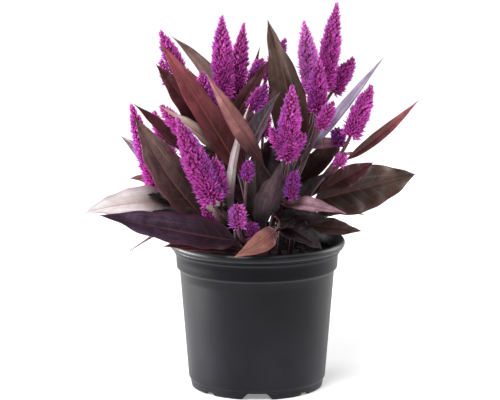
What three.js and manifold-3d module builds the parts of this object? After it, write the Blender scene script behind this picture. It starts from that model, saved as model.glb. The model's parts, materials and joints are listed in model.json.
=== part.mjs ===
// A plume celosia in its nursery pot: dark leafy stems with magenta plumes, rooted in soil.
// Millimetres, +Z up. The origin is the centre of the circle that the pot stands on.
import * as THREE from "three";
import { mergeVertices } from "three/addons/utils/BufferGeometryUtils.js";
import Module from "manifold-3d";

const wasm = await Module();
wasm.setup();

// ---- Driving dimensions ----------------------------------------------------------------------
const POT_HEIGHT = 102;
const LIP_RADIUS = 60; // outside of the rolled lip
const BAND_RADIUS = 55.4; // upper band, just under the bead
const BODY_RADIUS = 52.7; // body, just under the step
const FOOT_RADIUS = 45.5; // outside of the foot ring
const STEP_HEIGHT = 82; // middle of the step between body and band
const BEAD_HEIGHT = 94; // middle of the bead round the band
const LIP_HEIGHT = 5.4; // height of the rolled lip itself
const WALL = 1.4;
const FOOT_RING = 2.8; // thickness of the foot ring
const FOOT_FLARE = 6; // height at which the foot ring meets the body
const BASE_RAISE = 5; // underside of the base plate above the ground
const POT_SIDES = 30;

const NOTCH_PAIRS = 4; // wide and narrow drainage notches take turns in the foot ring
const WIDE_NOTCH = { top: 13, bottom: 21, height: 4.5 };
const NARROW_NOTCH = { top: 5, bottom: 8, height: 2 };
const OUTER_DRAIN_HOLES = 4;
const DRAIN_HOLE_RADIUS = 4;
const DRAIN_HOLE_CIRCLE = 26;

const SOIL_LEVEL = 91; // mean height of the soil's top
const SOIL_GAP = 0.6; // between the soil and the pot's wall
const SOIL_SIDES = 18;
const SOIL_RINGS = [41, 29, 17, 7]; // radii of the rings on the soil's top
const SOIL_DOME = 2; // how far the middle stands above the edge
const SOIL_LUMPS = 2.4; // height of its lumps
const ROOT_DEPTH = 13; // how deep a stem stands in its hole
const HOLE_GAP = 0.35;

const STEM_SIDES = 5;
const STEM_STEPS = 4; // sections along a stem
const BRANCH_STEPS = 3;
const STEM_RISE = 0.42; // share of its length over which a stem leaves its root direction
const STEM_RUN = 0.3; // share over which it turns into the plume's axis
const STEM_FOOT_RADIUS = 1.7;
const STEM_NECK_RADIUS = 1.1;
const BRANCH_RADIUS = 1;

const LEAF_THICKNESS = 0.7;
const LEAF_FOLD = 0.3; // how far the halves of a blade rise from its midrib, in radians
const LEAF_WAVES = 1.5; // waves along each edge
const LEAF_STATIONS = [0.07, 0.27, 0.52, 0.78]; // sections along the blade
const LEAF_BELLY = 0.42; // where along its length a midrib bends most
const RIB_RISE = 0.15; // how far the midrib stands out above
const RIB_DEPTH = 0.25; // and below
const WAVE_SHARE = 0.05; // height of the waves, as a share of the leaf's width
const PETIOLE = 0.1; // share of a leaf's length, where the leaf gives none
const PETIOLE_WIDTH = 1.5;

const FLORET_RISE = 1.7; // how far a floret's point stands out of the plume's core
const FLORET_LEAN = 1.4; // how far it leans up the plume
const FLORET_PITCH = 7.8; // height of one band of florets
const PLUME_SIDES = [
  [6.6, 7],
  [5, 6],
  [0, 5],
]; // from this radius up, this many florets round the plume
const CORE_INSET = 0.8; // share of a floret's rise that lies inside the plume's radius
const CORE_TIP_RADIUS = 0.7;
const LOWEST_BAND = 0.05; // height of the lowest and highest floret band along the plume
const HIGHEST_BAND = 0.92;
const SIDE_SPIKE_OUT = 3; // from the plume's axis to the foot of a side spike
const SIDE_SPIKE_SPREAD = 0.5; // how far it leans out, as a share of its length
const SIDE_SPIKE_RISE = 0.85; // how far it rises along the plume
const NECK_HOLLOW = 5.6; // depth of the hollow under a plume that its stem reaches into
const NECK_HOLLOW_RADIUS = 2.4;
const NECK_POINT = 4.4; // how far the stem's point reaches into the hollow

const SLIVER = 0.06; // smaller details than this are smoothed away where solids are fused

// ---- Colours ---------------------------------------------------------------------------------
const finish = (color, roughness) => ({ color, roughness, metalness: 0 });
const POT_FINISH = finish(0x26272b, 0.45);
const SOIL_FINISH = finish(0x2a211b, 0.95);
const MAROON = finish(0x4a2529, 0.55);
const OLIVE = finish(0x4b3a30, 0.55);
const MAUVE = finish(0x6b4a50, 0.5);
const MAGENTA = finish(0xb0309f, 0.8);
const VIOLET = finish(0x9a3cb8, 0.8);

// ---- The plant -------------------------------------------------------------------------------
// A plume: the tip of its spike and its radius; lobes are side spikes [bearing, length, radius].
const plume = (tip, radius, color = MAGENTA, lobes = []) => ({ tip, radius, color, lobes });
// A leaf: where on its stem it grows (0 foot, 1 neck), its tip and its width; arch bulges it
// towards its upper face, rise bends it upwards, roll and twist turn its face, in degrees.
const leaf = (at, tip, width, form = {}) => ({ at, tip, width, ...form });
// A side branch: where on its stem it grows, where it meets its plume, the plume and its leaves.
const branch = (at, neck, head, leaves = []) => ({ at, neck, head, leaves });
// A stem: where it leaves the soil, where it meets its plume, the plume, leaves and branches.
const stem = (root, neck, head, color, leaves, branches = []) => ({
  root,
  neck,
  head,
  color,
  leaves,
  branches,
});

const STEMS = [
  // the tallest, right of the middle
  stem([14, 2], [45, 5, 203], plume([54, 10, 263], 6.8), MAROON, [
    leaf(0.72, [45, -7, 166], 8, { arch: 2, roll: 60 }),
    leaf(0.3, [31, -4, 178], 13, { arch: 3, roll: -60 }),
  ]),
  // the big one left of the middle
  stem(
    [-4, 5],
    [-23, 4, 198],
    plume([-24, 10, 254], 7.2),
    MAROON,
    [
      leaf(0.75, [8, 4, 224], 12, { arch: 2, roll: -70 }),
      leaf(0.68, [-47, 5, 218], 12, { arch: 3, roll: 60 }),
      leaf(0.5, [-64, -44, 200], 13, { arch: 2, roll: 60 }),
      leaf(0.2, [-52, 62, 140], 16, { arch: 8 }),
    ],
    [branch(0.62, [-33, -10, 192], plume([-37, -10, 218], 6.5))],
  ),
  stem(
    [2, 11],
    [-15, 17, 193],
    plume([-9, 28, 247], 6.2),
    OLIVE,
    [
      leaf(0.8, [-58, 25, 237], 12, { arch: 4, roll: 60, rise: 6 }),
      leaf(0.72, [2, 20, 231], 7, { arch: 2, roll: -60 }),
    ],
    [branch(0.75, [-4, 9, 207], plume([4, 11, 225], 5))],
  ),
  stem([13, 15], [38, 25, 197], plume([32, 40, 247], 7), MAROON, [
    leaf(0.6, [16, 84, 182], 17, { arch: 8 }),
    leaf(0.72, [47, 60, 210], 12, { arch: 4, roll: -30 }),
    leaf(0.4, [50, 58, 166], 15, { arch: 8 }),
  ]),
  stem([21, 9], [51, 22, 199], plume([67, 30, 222], 6.3), OLIVE, [
    leaf(0.25, [66, 30, 146], 12, { arch: 4, roll: -75, petiole: 0.3 }),
    leaf(0.14, [72, 14, 104], 13, { arch: 2, roll: -60, petiole: 0.3, rise: -1 }),
    leaf(0.6, [63, 2, 167], 9, { arch: 2, roll: -60 }),
    leaf(0.33, [61, 37, 170], 15, { arch: 4, roll: -60 }),
  ]),
  stem(
    [15, -7],
    [40, -15, 191],
    plume([41, -15, 227], 6.5),
    OLIVE,
    [
      leaf(0.55, [7, 4, 251], 28, { arch: 4, roll: 80, rise: 6 }),
      leaf(0.66, [85, -10, 228], 7, { arch: 3, roll: -70 }),
      leaf(0.2, [47, -24, 152], 14, { arch: 3, roll: -60 }),
      leaf(0.12, [22, -24, 163], 20, { arch: 2 }),
    ],
    [branch(0.6, [42, -25, 182], plume([51, -25, 201], 5))],
  ),
  stem(
    [23, -6],
    [62, -20, 175],
    plume([77, -13, 210], 6.8),
    OLIVE,
    [
      leaf(0.36, [110, 40, 139], 34, { arch: 4, roll: -80, rise: 1 }),
      leaf(0.42, [79, 8, 153], 15, { arch: 3, roll: -70, petiole: 0.3 }),
      leaf(0.66, [112, 45, 190], 8, { arch: 3, roll: -65, rise: -2, petiole: 0.22 }),
    ],
    [
      branch(0.72, [55, -5, 166], plume([55, -4, 180], 5.4, VIOLET)),
      branch(0.6, [54, -25, 156], plume([59, -25, 166], 4.2)),
    ],
  ),
  // front, right of the middle, wide at its foot
  stem(
    [8, -17],
    [20, -45, 164],
    plume([23, -45, 215], 7.3, MAGENTA, [
      [180, 20, 4.6],
      [0, 15, 4.4],
      [-80, 12, 4.2],
    ]),
    MAUVE,
    [
      leaf(0.62, [-33, -58, 223], 12.5, { arch: -3, roll: -75, petiole: 0.3 }),
      leaf(0.5, [58, -75, 134], 12, { arch: 3, roll: -40 }),
      leaf(0.25, [43, -50, 105], 19, { arch: 7, roll: -35, petiole: 0.3 }),
      leaf(0.3, [49, -32, 121], 15, { arch: 3, roll: -50 }),
      leaf(0.12, [24, -58, 122], 12, { arch: 3, roll: -20 }),
      leaf(0.36, [-15, -66, 103], 15, { arch: 17, roll: 66, rise: -2, petiole: 0.48 }),
    ],
    [branch(0.55, [22, -55, 141], plume([25, -57, 160], 4.8, VIOLET))],
  ),
  // front left, leaning out
  stem(
    [-9, -17],
    [-29, -50, 136],
    plume([-53, -50, 194], 8.6),
    OLIVE,
    [
      leaf(0.12, [-80, -55, 194], 30, { arch: 2, roll: 78, rise: -10, petiole: 0.36 }),
      leaf(0.5, [-5, -34, 200], 7, { arch: 2, roll: 60, rise: 4 }),
    ],
    [
      branch(0.75, [-24, -40, 139], plume([-29, -39, 166], 5.8)),
      branch(0.6, [-28, -44, 120], plume([-37, -47, 133], 3.2)),
    ],
  ),
  // far left, long and thin
  stem([-20, -4], [-67, -20, 139], plume([-85, -15, 198], 6.5), MAUVE, [
    leaf(0.6, [-93, 15, 170], 14, { arch: 4, roll: 60, rise: 5 }),
    leaf(0.65, [-114.5, -60, 131], 24, { arch: 5, roll: 45, rise: 3 }),
    leaf(0.4, [-84, -60, 106], 6, { arch: 4 }),
    leaf(0.35, [-84, -60, 128], 13, { arch: 3, roll: 40 }),
    leaf(0.75, [-73, -36, 139], 12, { arch: 2, roll: 30 }),
  ]),
  stem(
    [-14, 7],
    [-50, 12, 208],
    plume([-66, 15, 243], 6),
    MAROON,
    [
      leaf(0.38, [-83, -3, 195], 14, { arch: 4, roll: 60, rise: -3 }),
      leaf(0.56, [-68, -3, 222], 20, { arch: 3, roll: 75 }),
    ],
    [
      branch(0.5, [-63, 6, 170], plume([-69, 5, 184], 4)),
      branch(0.75, [-60, 6, 207], plume([-65, 6, 225], 3.6)),
    ],
  ),
  stem(
    [1, -5],
    [-4, -10, 192],
    plume([7, -10, 210], 5.2),
    MAROON,
    [
      leaf(0.4, [-65, -28, 241], 20, { arch: 2, roll: 80 }),
      leaf(0.55, [15, -30, 207], 18, { arch: 3, roll: -75 }),
      leaf(0.15, [-30, -22, 128], 12, { arch: 4, roll: 50 }),
      leaf(0.1, [-1, -28, 172], 19, { arch: 2 }),
    ],
  ),
  stem([5, 19], [6, 30, 206], plume([20, 35, 235], 5.4), MAROON, [
    leaf(0.5, [-14, 84, 178], 17, { arch: 8 }),
    leaf(0.12, [12, 52, 168], 22, { arch: 4 }),
  ]),
  stem([-13, -7], [-46, -25, 176], plume([-65, -18, 197], 5.4), MAROON, [
    leaf(0.2, [-54, -12, 131], 17, { arch: 4, roll: 60 }),
  ]),
  // low in front
  stem(
    [-2, -31],
    [-13, -62, 122],
    plume([-13, -63, 139], 5.6, VIOLET),
    MAUVE,
    [
      leaf(0.45, [-102, -85, 135], 27, { arch: 3, roll: 50, rise: -3 }),
      leaf(0.1, [-62, -60, 109], 16, { arch: 4, roll: 40 }),
      leaf(0.3, [16, -66, 168], 24, { arch: -5, petiole: 0.3 }),
    ],
    [
      branch(0.6, [-4, -55, 115], plume([-3, -57, 125], 4.4, VIOLET)),
      branch(0.45, [-7, -57, 153], plume([-5.5, -57, 167], 4.2, VIOLET)),
    ],
  ),
  // back left, back right and back
  stem([-12, 22], [-30, 60, 165], plume([-36, 70, 205], 6.2), OLIVE, [
    leaf(0.5, [-58, 82, 150], 19, { arch: 10 }),
    leaf(0.68, [-67, 48, 178], 15, { arch: 8 }),
    leaf(0.15, [-44, 80, 116], 18, { arch: 8 }),
    leaf(0.1, [-14, 54, 156], 20, { arch: 4 }),
  ]),
  stem([17, 26], [38, 62, 166], plume([45, 74, 206], 6.3), MAROON, [
    leaf(0.45, [72, 74, 146], 19, { arch: 10 }),
    leaf(0.2, [40, 84, 124], 19, { arch: 10 }),
  ]),
  stem([2, 31], [4, 66, 160], plume([5, 78, 197], 6), OLIVE, [
    leaf(0.3, [-14, 85, 126], 19, { arch: 10 }),
    leaf(0.6, [22, 82, 158], 14, { arch: 7 }),
  ]),
  stem([-24, 15], [-60, 46, 148], plume([-72, 55, 182], 5.6), MAROON, [
    leaf(0.5, [-88, 30, 138], 16, { arch: 6, roll: 40 }),
    leaf(0.3, [-68, 66, 120], 17, { arch: 8 }),
    leaf(0.15, [-72, 18, 128], 16, { arch: 4, roll: 30 }),
  ]),
  stem([27, 20], [58, 48, 116], plume([73, 60, 140], 5.6), OLIVE, [
    leaf(0.25, [75, 42, 110], 15, { arch: 5 }),
    leaf(0.35, [40, 84, 104], 15, { arch: 6 }),
  ]),
];

// ---- Solids ----------------------------------------------------------------------------------
const vector = ([x, y, z]) => new THREE.Vector3(x, y, z);
const UP = new THREE.Vector3(0, 0, 1);

// A repeatable number from 0 to 1 for a place in a series.
function chance(index) {
  const wave = Math.sin(index * 127.1 + 11.7) * 43758.5453;
  return wave - Math.floor(wave);
}

function meshOf(points, triangles) {
  const geometry = new THREE.BufferGeometry().setFromPoints(points);
  return geometry.setIndex(triangles);
}

function solidOf(geometry) {
  const bare = geometry.clone();
  bare.deleteAttribute("normal");
  bare.deleteAttribute("uv");
  const merged = mergeVertices(bare, 1e-3);
  const vertProperties = merged.getAttribute("position").array;
  const triVerts = new Uint32Array(merged.index.array);
  return new wasm.Manifold(new wasm.Mesh({ numProp: 3, vertProperties, triVerts }));
}

function geometryOf(solid) {
  const mesh = solid.getMesh();
  const geometry = new THREE.BufferGeometry();
  geometry.setAttribute("position", new THREE.BufferAttribute(mesh.vertProperties, 3));
  return geometry.setIndex(new THREE.BufferAttribute(mesh.triVerts, 1));
}

// Solids fused to one body: hollows sealed by the fusing are filled, scraps and slivers dropped.
function fused(solids) {
  const whole = solids.reduce((sum, solid) => sum.add(solid)).simplify(SLIVER);
  return whole.decompose().reduce((best, body) => (body.volume() > best.volume() ? body : best));
}

// A closed skin over rings of equally many points, each end drawn to a point.
function loft(rings, start, end) {
  const sides = rings[0].length;
  const points = [...rings.flat(), start, end];
  const triangles = [];
  for (let side = 0; side < sides; side++) {
    const next = (side + 1) % sides;
    triangles.push(points.length - 2, next, side);
    for (let ring = 0; ring < rings.length - 1; ring++) {
      const a = ring * sides;
      triangles.push(a + side, a + next, a + sides + side);
      triangles.push(a + next, a + sides + next, a + sides + side);
    }
    const last = (rings.length - 1) * sides;
    triangles.push(last + side, last + next, points.length - 1);
  }
  return meshOf(points, triangles);
}

// Two directions at right angles to a third.
function crossAxes(direction) {
  const hint = Math.abs(direction.z) > 0.9 ? new THREE.Vector3(1, 0, 0) : UP;
  const across = new THREE.Vector3().crossVectors(hint, direction).normalize();
  return [across, new THREE.Vector3().crossVectors(direction, across)];
}

function circle(centre, direction, radius, sides, turn = 0) {
  const [across, over] = crossAxes(direction);
  return Array.from({ length: sides }, (_, side) => {
    const angle = (2 * Math.PI * (side + turn)) / sides;
    return centre
      .clone()
      .addScaledVector(across, radius * Math.cos(angle))
      .addScaledVector(over, radius * Math.sin(angle));
  });
}

// ---- Pot and soil ----------------------------------------------------------------------------
function pot() {
  const inside = BODY_RADIUS - WALL;
  const bandInside = BAND_RADIUS - WALL;
  const lipBottom = POT_HEIGHT - LIP_HEIGHT;
  const profile = [
    [0, BASE_RAISE],
    [FOOT_RADIUS - FOOT_RING, BASE_RAISE],
    [FOOT_RADIUS - FOOT_RING, 0],
    [FOOT_RADIUS - 1.1, 0],
    [FOOT_RADIUS - 0.2, 0.9],
    [FOOT_RADIUS, FOOT_FLARE - 0.6],
    [FOOT_RADIUS + 1.2, FOOT_FLARE + 0.6],
    [BODY_RADIUS, STEP_HEIGHT - 0.8],
    [BAND_RADIUS - 0.6, STEP_HEIGHT + 0.8],
    [BAND_RADIUS, BEAD_HEIGHT - 1.4],
    [BAND_RADIUS + 1.1, BEAD_HEIGHT - 0.6],
    [BAND_RADIUS + 1.4, BEAD_HEIGHT + 1.4],
    [LIP_RADIUS - 1, lipBottom],
    [LIP_RADIUS, lipBottom + 1.2],
    [LIP_RADIUS, POT_HEIGHT - 1.2],
    [LIP_RADIUS - 1.1, POT_HEIGHT],
    [LIP_RADIUS - 3, POT_HEIGHT],
    [LIP_RADIUS - 4, POT_HEIGHT - 1],
    [bandInside, BEAD_HEIGHT - 1.6],
    [bandInside - 0.6, STEP_HEIGHT + 2],
    [inside, STEP_HEIGHT - 0.4],
    [FOOT_RADIUS + 1.2 - WALL, FOOT_FLARE + 2],
    [FOOT_RADIUS - WALL, BASE_RAISE + WALL],
    [0, BASE_RAISE + WALL],
  ];
  const outline = profile.map(([radius, height]) => new THREE.Vector2(radius, height));
  const turned = new THREE.LatheGeometry(outline, POT_SIDES).rotateX(Math.PI / 2);
  let solid = solidOf(turned);
  for (let index = 0; index < NOTCH_PAIRS; index++) {
    const angle = (index / NOTCH_PAIRS) * 2 * Math.PI;
    solid = solid.subtract(notchCutter(angle, WIDE_NOTCH));
    solid = solid.subtract(notchCutter(angle + Math.PI / NOTCH_PAIRS, NARROW_NOTCH));
  }
  for (let index = 0; index <= OUTER_DRAIN_HOLES; index++) {
    solid = solid.subtract(drainCutter(index));
  }
  return geometryOf(solid);
}

// A trapezoid bar that cuts one notch through the foot ring.
function notchCutter(angle, { top, bottom, height }) {
  const flare = (bottom - top) / 2 / height; // the cutter starts 1 mm below the ring
  const shape = new THREE.Shape([
    new THREE.Vector2(-bottom / 2 - flare, -1),
    new THREE.Vector2(bottom / 2 + flare, -1),
    new THREE.Vector2(top / 2, height),
    new THREE.Vector2(-top / 2, height),
  ]);
  const bar = new THREE.ExtrudeGeometry(shape, { depth: 10, bevelEnabled: false });
  bar.rotateX(Math.PI / 2).translate(0, FOOT_RADIUS + 5, 0).rotateZ(angle);
  return solidOf(bar);
}

// One drain hole through the base plate: the first is in the middle, the others stand round it.
function drainCutter(index) {
  const hole = new THREE.CylinderGeometry(DRAIN_HOLE_RADIUS, DRAIN_HOLE_RADIUS, 3 * WALL, 10);
  hole.rotateX(Math.PI / 2).translate(index ? DRAIN_HOLE_CIRCLE : 0, 0, BASE_RAISE + WALL / 2);
  return solidOf(hole.rotateZ((index / OUTER_DRAIN_HOLES) * 2 * Math.PI));
}

// The root ball: it follows the pot's inside, and its top is lumpy.
function soil() {
  const inset = WALL + SOIL_GAP;
  const edge = BAND_RADIUS - inset - 0.6;
  const skirt = [
    [FOOT_RADIUS - inset, BASE_RAISE + WALL + 0.4],
    [FOOT_RADIUS + 1.2 - inset, FOOT_FLARE + 2.4],
    [BODY_RADIUS - inset, STEP_HEIGHT + 0.6],
    [edge, STEP_HEIGHT + 3],
  ];
  const rings = skirt.map(([radius, height]) =>
    circle(new THREE.Vector3(0, 0, height), UP, radius, SOIL_SIDES),
  );
  [edge, ...SOIL_RINGS].forEach((radius, ring) => {
    const points = circle(new THREE.Vector3(), UP, radius, SOIL_SIDES);
    points.forEach((point, side) => {
      const dome = SOIL_DOME * (1 - radius / edge);
      point.z = SOIL_LEVEL + dome + SOIL_LUMPS * (chance(ring * SOIL_SIDES + side) - 0.5);
    });
    rings.push(points);
  });
  const floor = new THREE.Vector3(0, 0, skirt[0][1]);
  const crown = new THREE.Vector3(0, 0, SOIL_LEVEL + SOIL_DOME);
  let solid = solidOf(loft(rings, floor, crown));
  for (const { root } of STEMS) {
    solid = solid.subtract(rootHole(root));
  }
  return geometryOf(solid);
}

// The plain round hole that one stem stands in.
function rootHole([x, y]) {
  const radius = STEM_FOOT_RADIUS + HOLE_GAP;
  const depth = 2 * (ROOT_DEPTH + HOLE_GAP);
  const hole = new THREE.CylinderGeometry(radius, radius, depth, STEM_SIDES);
  return solidOf(hole.rotateX(Math.PI / 2).rotateZ(Math.PI / 2).translate(x, y, SOIL_LEVEL));
}

// ---- Stems -----------------------------------------------------------------------------------
// A stem rises straight out of its hole and runs into its plume along the plume's own axis.
function stemPath({ root, neck, head }) {
  const foot = new THREE.Vector3(...root, SOIL_LEVEL + 2);
  const top = vector(neck);
  const axis = vector(head.tip).sub(top).normalize();
  const length = foot.distanceTo(top);
  const rise = foot.clone().addScaledVector(UP, STEM_RISE * length);
  const run = top.clone().addScaledVector(axis, -STEM_RUN * length);
  return new THREE.CubicBezierCurve3(foot, rise, run, top);
}

function branchPath(trunk, { at, neck, head }) {
  const foot = trunk.getPoint(at);
  const top = vector(neck);
  const axis = vector(head.tip).sub(top).normalize();
  const length = foot.distanceTo(top);
  const leave = trunk.getTangent(at).lerp(top.clone().sub(foot).normalize(), 0.5).normalize();
  const rise = foot.clone().addScaledVector(leave, STEM_RUN * length);
  const run = top.clone().addScaledVector(axis, -STEM_RUN * length);
  return new THREE.CubicBezierCurve3(foot, rise, run, top);
}

// A tapered tube along a path: its foot reaches down by depth, and its point up into the plume.
function tube(path, footRadius, neckRadius, steps, depth) {
  const foot = path.getPoint(0).addScaledVector(path.getTangent(0), -depth);
  const rings = [];
  if (depth) rings.push(circle(foot, path.getTangent(0), footRadius, STEM_SIDES));
  for (let step = 0; step <= steps; step++) {
    const along = step / steps;
    const radius = THREE.MathUtils.lerp(footRadius, neckRadius, along);
    rings.push(circle(path.getPoint(along), path.getTangent(along), radius, STEM_SIDES));
  }
  const point = path.getPoint(1).addScaledVector(path.getTangent(1), NECK_POINT);
  return loft(rings, foot, point);
}

// ---- Leaves ----------------------------------------------------------------------------------
// A blade's width along it: broadest before the middle and drawn out to a fine tip.
const bladeWidth = (along) => (along ** 0.7 * (1 - along) ** 1.1) / 0.3;

// The midrib, and the direction across the blade at its foot.
function leafFrame(foot, { tip, arch = 4, rise = 0, roll = 0 }) {
  const end = vector(tip);
  const chord = end.clone().sub(foot);
  const away = new THREE.Vector3(chord.x, chord.y, 0).normalize();
  const level = new THREE.Vector3().crossVectors(UP, away);
  const direction = chord.clone().normalize();
  const lift = new THREE.Vector3().crossVectors(direction, level);
  const angle = THREE.MathUtils.degToRad(roll);
  const face = lift.clone().applyAxisAngle(direction, -angle);
  const across = level.clone().applyAxisAngle(direction, -angle);
  const bend = foot.clone().addScaledVector(chord, LEAF_BELLY);
  bend.addScaledVector(face, 2 * arch).addScaledVector(lift, 2 * rise);
  return { midrib: new THREE.QuadraticBezierCurve3(foot, bend, end), across };
}

// Six points round a blade: its left edge, midrib and right edge above, and the same below.
function bladeSection(midrib, across, along, twist, half, wave) {
  const centre = midrib.getPoint(along);
  const tangent = midrib.getTangent(along);
  const side = across.clone().applyAxisAngle(tangent, THREE.MathUtils.degToRad(twist * along));
  side.addScaledVector(tangent, -side.dot(tangent)).normalize();
  const normal = new THREE.Vector3().crossVectors(tangent, side);
  const place = (share, height) =>
    centre
      .clone()
      .addScaledVector(side, share * half * Math.cos(LEAF_FOLD))
      .addScaledVector(normal, Math.abs(share) * half * Math.sin(LEAF_FOLD) + height);
  const skin = LEAF_THICKNESS / 2;
  return [
    place(1, wave[0] + skin),
    place(0, skin + RIB_RISE),
    place(-1, wave[1] + skin),
    place(-1, wave[1] - skin),
    place(0, -skin - RIB_DEPTH),
    place(1, wave[0] - skin),
  ];
}

function leafSolid(foot, form, index) {
  const { midrib, across } = leafFrame(foot, form);
  const { width, petiole = PETIOLE, twist = 0, wave = WAVE_SHARE * width } = form;
  const rings = [0, petiole].map((along) =>
    bladeSection(midrib, across, along, twist, PETIOLE_WIDTH / 2, [0, 0]),
  );
  for (const station of LEAF_STATIONS) {
    const along = petiole + (1 - petiole) * station;
    const half = (width / 2) * bladeWidth(station);
    const phase = 2 * Math.PI * (LEAF_WAVES * station + chance(index));
    const edges = [wave * Math.sin(phase), wave * Math.sin(phase + 2)];
    rings.push(bladeSection(midrib, across, along, twist, half, edges));
  }
  return solidOf(blade(rings, foot, vector(form.tip)));
}

// A skin over blade sections whose upper and lower face are split into triangles alike.
function blade(rings, start, end) {
  const sides = rings[0].length;
  const points = [...rings.flat(), start, end];
  const triangles = [];
  for (let side = 0; side < sides; side++) {
    const next = (side + 1) % sides;
    const rising = side === 0 || side === 3;
    triangles.push(points.length - 2, next, side);
    for (let ring = 0; ring < rings.length - 1; ring++) {
      const near = ring * sides;
      const far = near + sides;
      if (rising) {
        triangles.push(near + side, far + next, far + side, near + side, near + next, far + next);
      } else {
        triangles.push(near + side, near + next, far + side, near + next, far + next, far + side);
      }
    }
    const last = (rings.length - 1) * sides;
    triangles.push(last + side, last + next, points.length - 1);
  }
  return meshOf(points, triangles);
}

// ---- Plumes ----------------------------------------------------------------------------------
// A plume's girth along it, from its foot to its tip.
function plumeGirth(along) {
  const fromTip = 1 - along;
  if (fromTip < 0.6) return Math.sin((Math.PI / 2) * (fromTip / 0.6)) ** 0.9;
  return 1 - 0.3 * ((fromTip - 0.6) / 0.4) ** 2;
}

// A spike whose faces are each drawn out to a floret that points up and out.
function spike(foot, tip, radius, sides, bands) {
  const axis = tip.clone().sub(foot);
  const length = axis.length();
  axis.normalize();
  const core = radius - FLORET_RISE * CORE_INSET;
  const rings = [circle(foot, axis, NECK_HOLLOW_RADIUS, sides)];
  for (let band = 0; band < bands; band++) {
    const along = THREE.MathUtils.lerp(LOWEST_BAND, HIGHEST_BAND, band / (bands - 1));
    const centre = foot.clone().addScaledVector(axis, along * length);
    const girth = Math.max(core * plumeGirth(along), CORE_TIP_RADIUS);
    rings.push(circle(centre, axis, girth, sides, (band + 1) / 2));
  }
  const hollow = foot.clone().addScaledVector(axis, NECK_HOLLOW);
  const points = [...rings.flat(), hollow, tip];
  const triangles = [];
  const floret = (a, b, c) => {
    const middle = points[a].clone().add(points[b]).add(points[c]).divideScalar(3);
    const height = middle.clone().sub(foot).dot(axis);
    const out = middle.clone().sub(foot).addScaledVector(axis, -height).normalize();
    const size = 0.75 + 0.5 * chance(points.length + foot.x);
    middle.addScaledVector(out, FLORET_RISE * size).addScaledVector(axis, FLORET_LEAN * size);
    const peak = points.push(middle) - 1;
    triangles.push(a, b, peak, b, c, peak, c, a, peak);
  };
  for (let side = 0; side < sides; side++) {
    const next = (side + 1) % sides;
    triangles.push(rings.length * sides, next, side);
    for (let ring = 0; ring < rings.length - 1; ring++) {
      const low = ring * sides;
      const high = low + sides;
      floret(low + side, low + next, high + side);
      floret(low + next, high + next, high + side);
    }
    const last = (rings.length - 1) * sides;
    triangles.push(last + side, last + next, rings.length * sides + 1);
  }
  return meshOf(points, triangles);
}

// A short side spike low on a plume, clear of the hollow for the stem.
function sideSpike(foot, tip, [bearing, length, radius]) {
  const axis = tip.clone().sub(foot).normalize();
  const angle = THREE.MathUtils.degToRad(bearing);
  const out = new THREE.Vector3(Math.cos(angle), Math.sin(angle), 0);
  const start = foot.clone().addScaledVector(axis, NECK_HOLLOW);
  start.addScaledVector(out, SIDE_SPIKE_OUT);
  const end = start.clone().addScaledVector(out, SIDE_SPIKE_SPREAD * length);
  end.addScaledVector(axis, SIDE_SPIKE_RISE * length);
  return solidOf(spike(start, end, radius, 5, 3));
}

function plumeGeometry(neck, { tip, radius, lobes }) {
  const foot = vector(neck);
  const point = vector(tip);
  const length = foot.distanceTo(point);
  const sides = PLUME_SIDES.find(([least]) => radius > least)[1];
  const bands = Math.max(3, Math.round(length / FLORET_PITCH));
  const main = solidOf(spike(foot, point, radius, sides, bands));
  return geometryOf(fused([main, ...lobes.map((lobe) => sideSpike(foot, point, lobe))]));
}

// ---- Assembly --------------------------------------------------------------------------------
const plant = new THREE.Group();

function piece(name, geometry, { color, roughness, metalness }) {
  const mesh = new THREE.Mesh(
    geometry,
    new THREE.MeshStandardMaterial({ color, roughness, metalness }),
  );
  mesh.name = name;
  plant.add(mesh);
}

const numbered = (name, index) => `${name}_${String(index + 1).padStart(2, "0")}`;

piece("pot", pot(), POT_FINISH);
piece("soil", soil(), SOIL_FINISH);

const heads = [];
STEMS.forEach((form, index) => {
  const trunk = stemPath(form);
  const solids = [solidOf(tube(trunk, STEM_FOOT_RADIUS, STEM_NECK_RADIUS, STEM_STEPS, ROOT_DEPTH + 2))];
  heads.push([form.neck, form.head]);
  const grow = (path, leaves) =>
    leaves.forEach((shape) => solids.push(leafSolid(path.getPoint(shape.at), shape, solids.length)));
  grow(trunk, form.leaves);
  for (const side of form.branches) {
    const path = branchPath(trunk, side);
    solids.push(solidOf(tube(path, BRANCH_RADIUS, BRANCH_RADIUS, BRANCH_STEPS, 0)));
    heads.push([side.neck, side.head]);
    grow(path, side.leaves);
  }
  piece(numbered("leafy_stem", index), geometryOf(fused(solids)), form.color);
});

heads.forEach(([neck, head], index) => {
  piece(numbered("plume", index), plumeGeometry(neck, head), head.color);
});

export default plant;
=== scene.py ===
"""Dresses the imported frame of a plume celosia: fine leaves, florets, soil and a moulded pot."""

import json
import math

import bpy
from bpy.props import FloatProperty, FloatVectorProperty, IntProperty, PointerProperty
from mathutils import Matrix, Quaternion, Vector, noise


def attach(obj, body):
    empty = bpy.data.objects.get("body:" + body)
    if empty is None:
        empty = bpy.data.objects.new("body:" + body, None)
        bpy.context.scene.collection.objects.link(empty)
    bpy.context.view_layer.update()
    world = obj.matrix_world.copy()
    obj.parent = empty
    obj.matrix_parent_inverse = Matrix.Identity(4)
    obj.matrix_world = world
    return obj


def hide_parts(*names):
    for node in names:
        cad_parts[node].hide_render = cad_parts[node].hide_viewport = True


bl_info = {
    "name": "Potted plume celosia",
    "version": (1, 0, 0),
    "blender": (4, 5, 0),
    "location": "View3D > Sidebar > Celosia",
    "description": "Builds the looks of a plume celosia in its nursery pot",
    "category": "Object",
}

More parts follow.
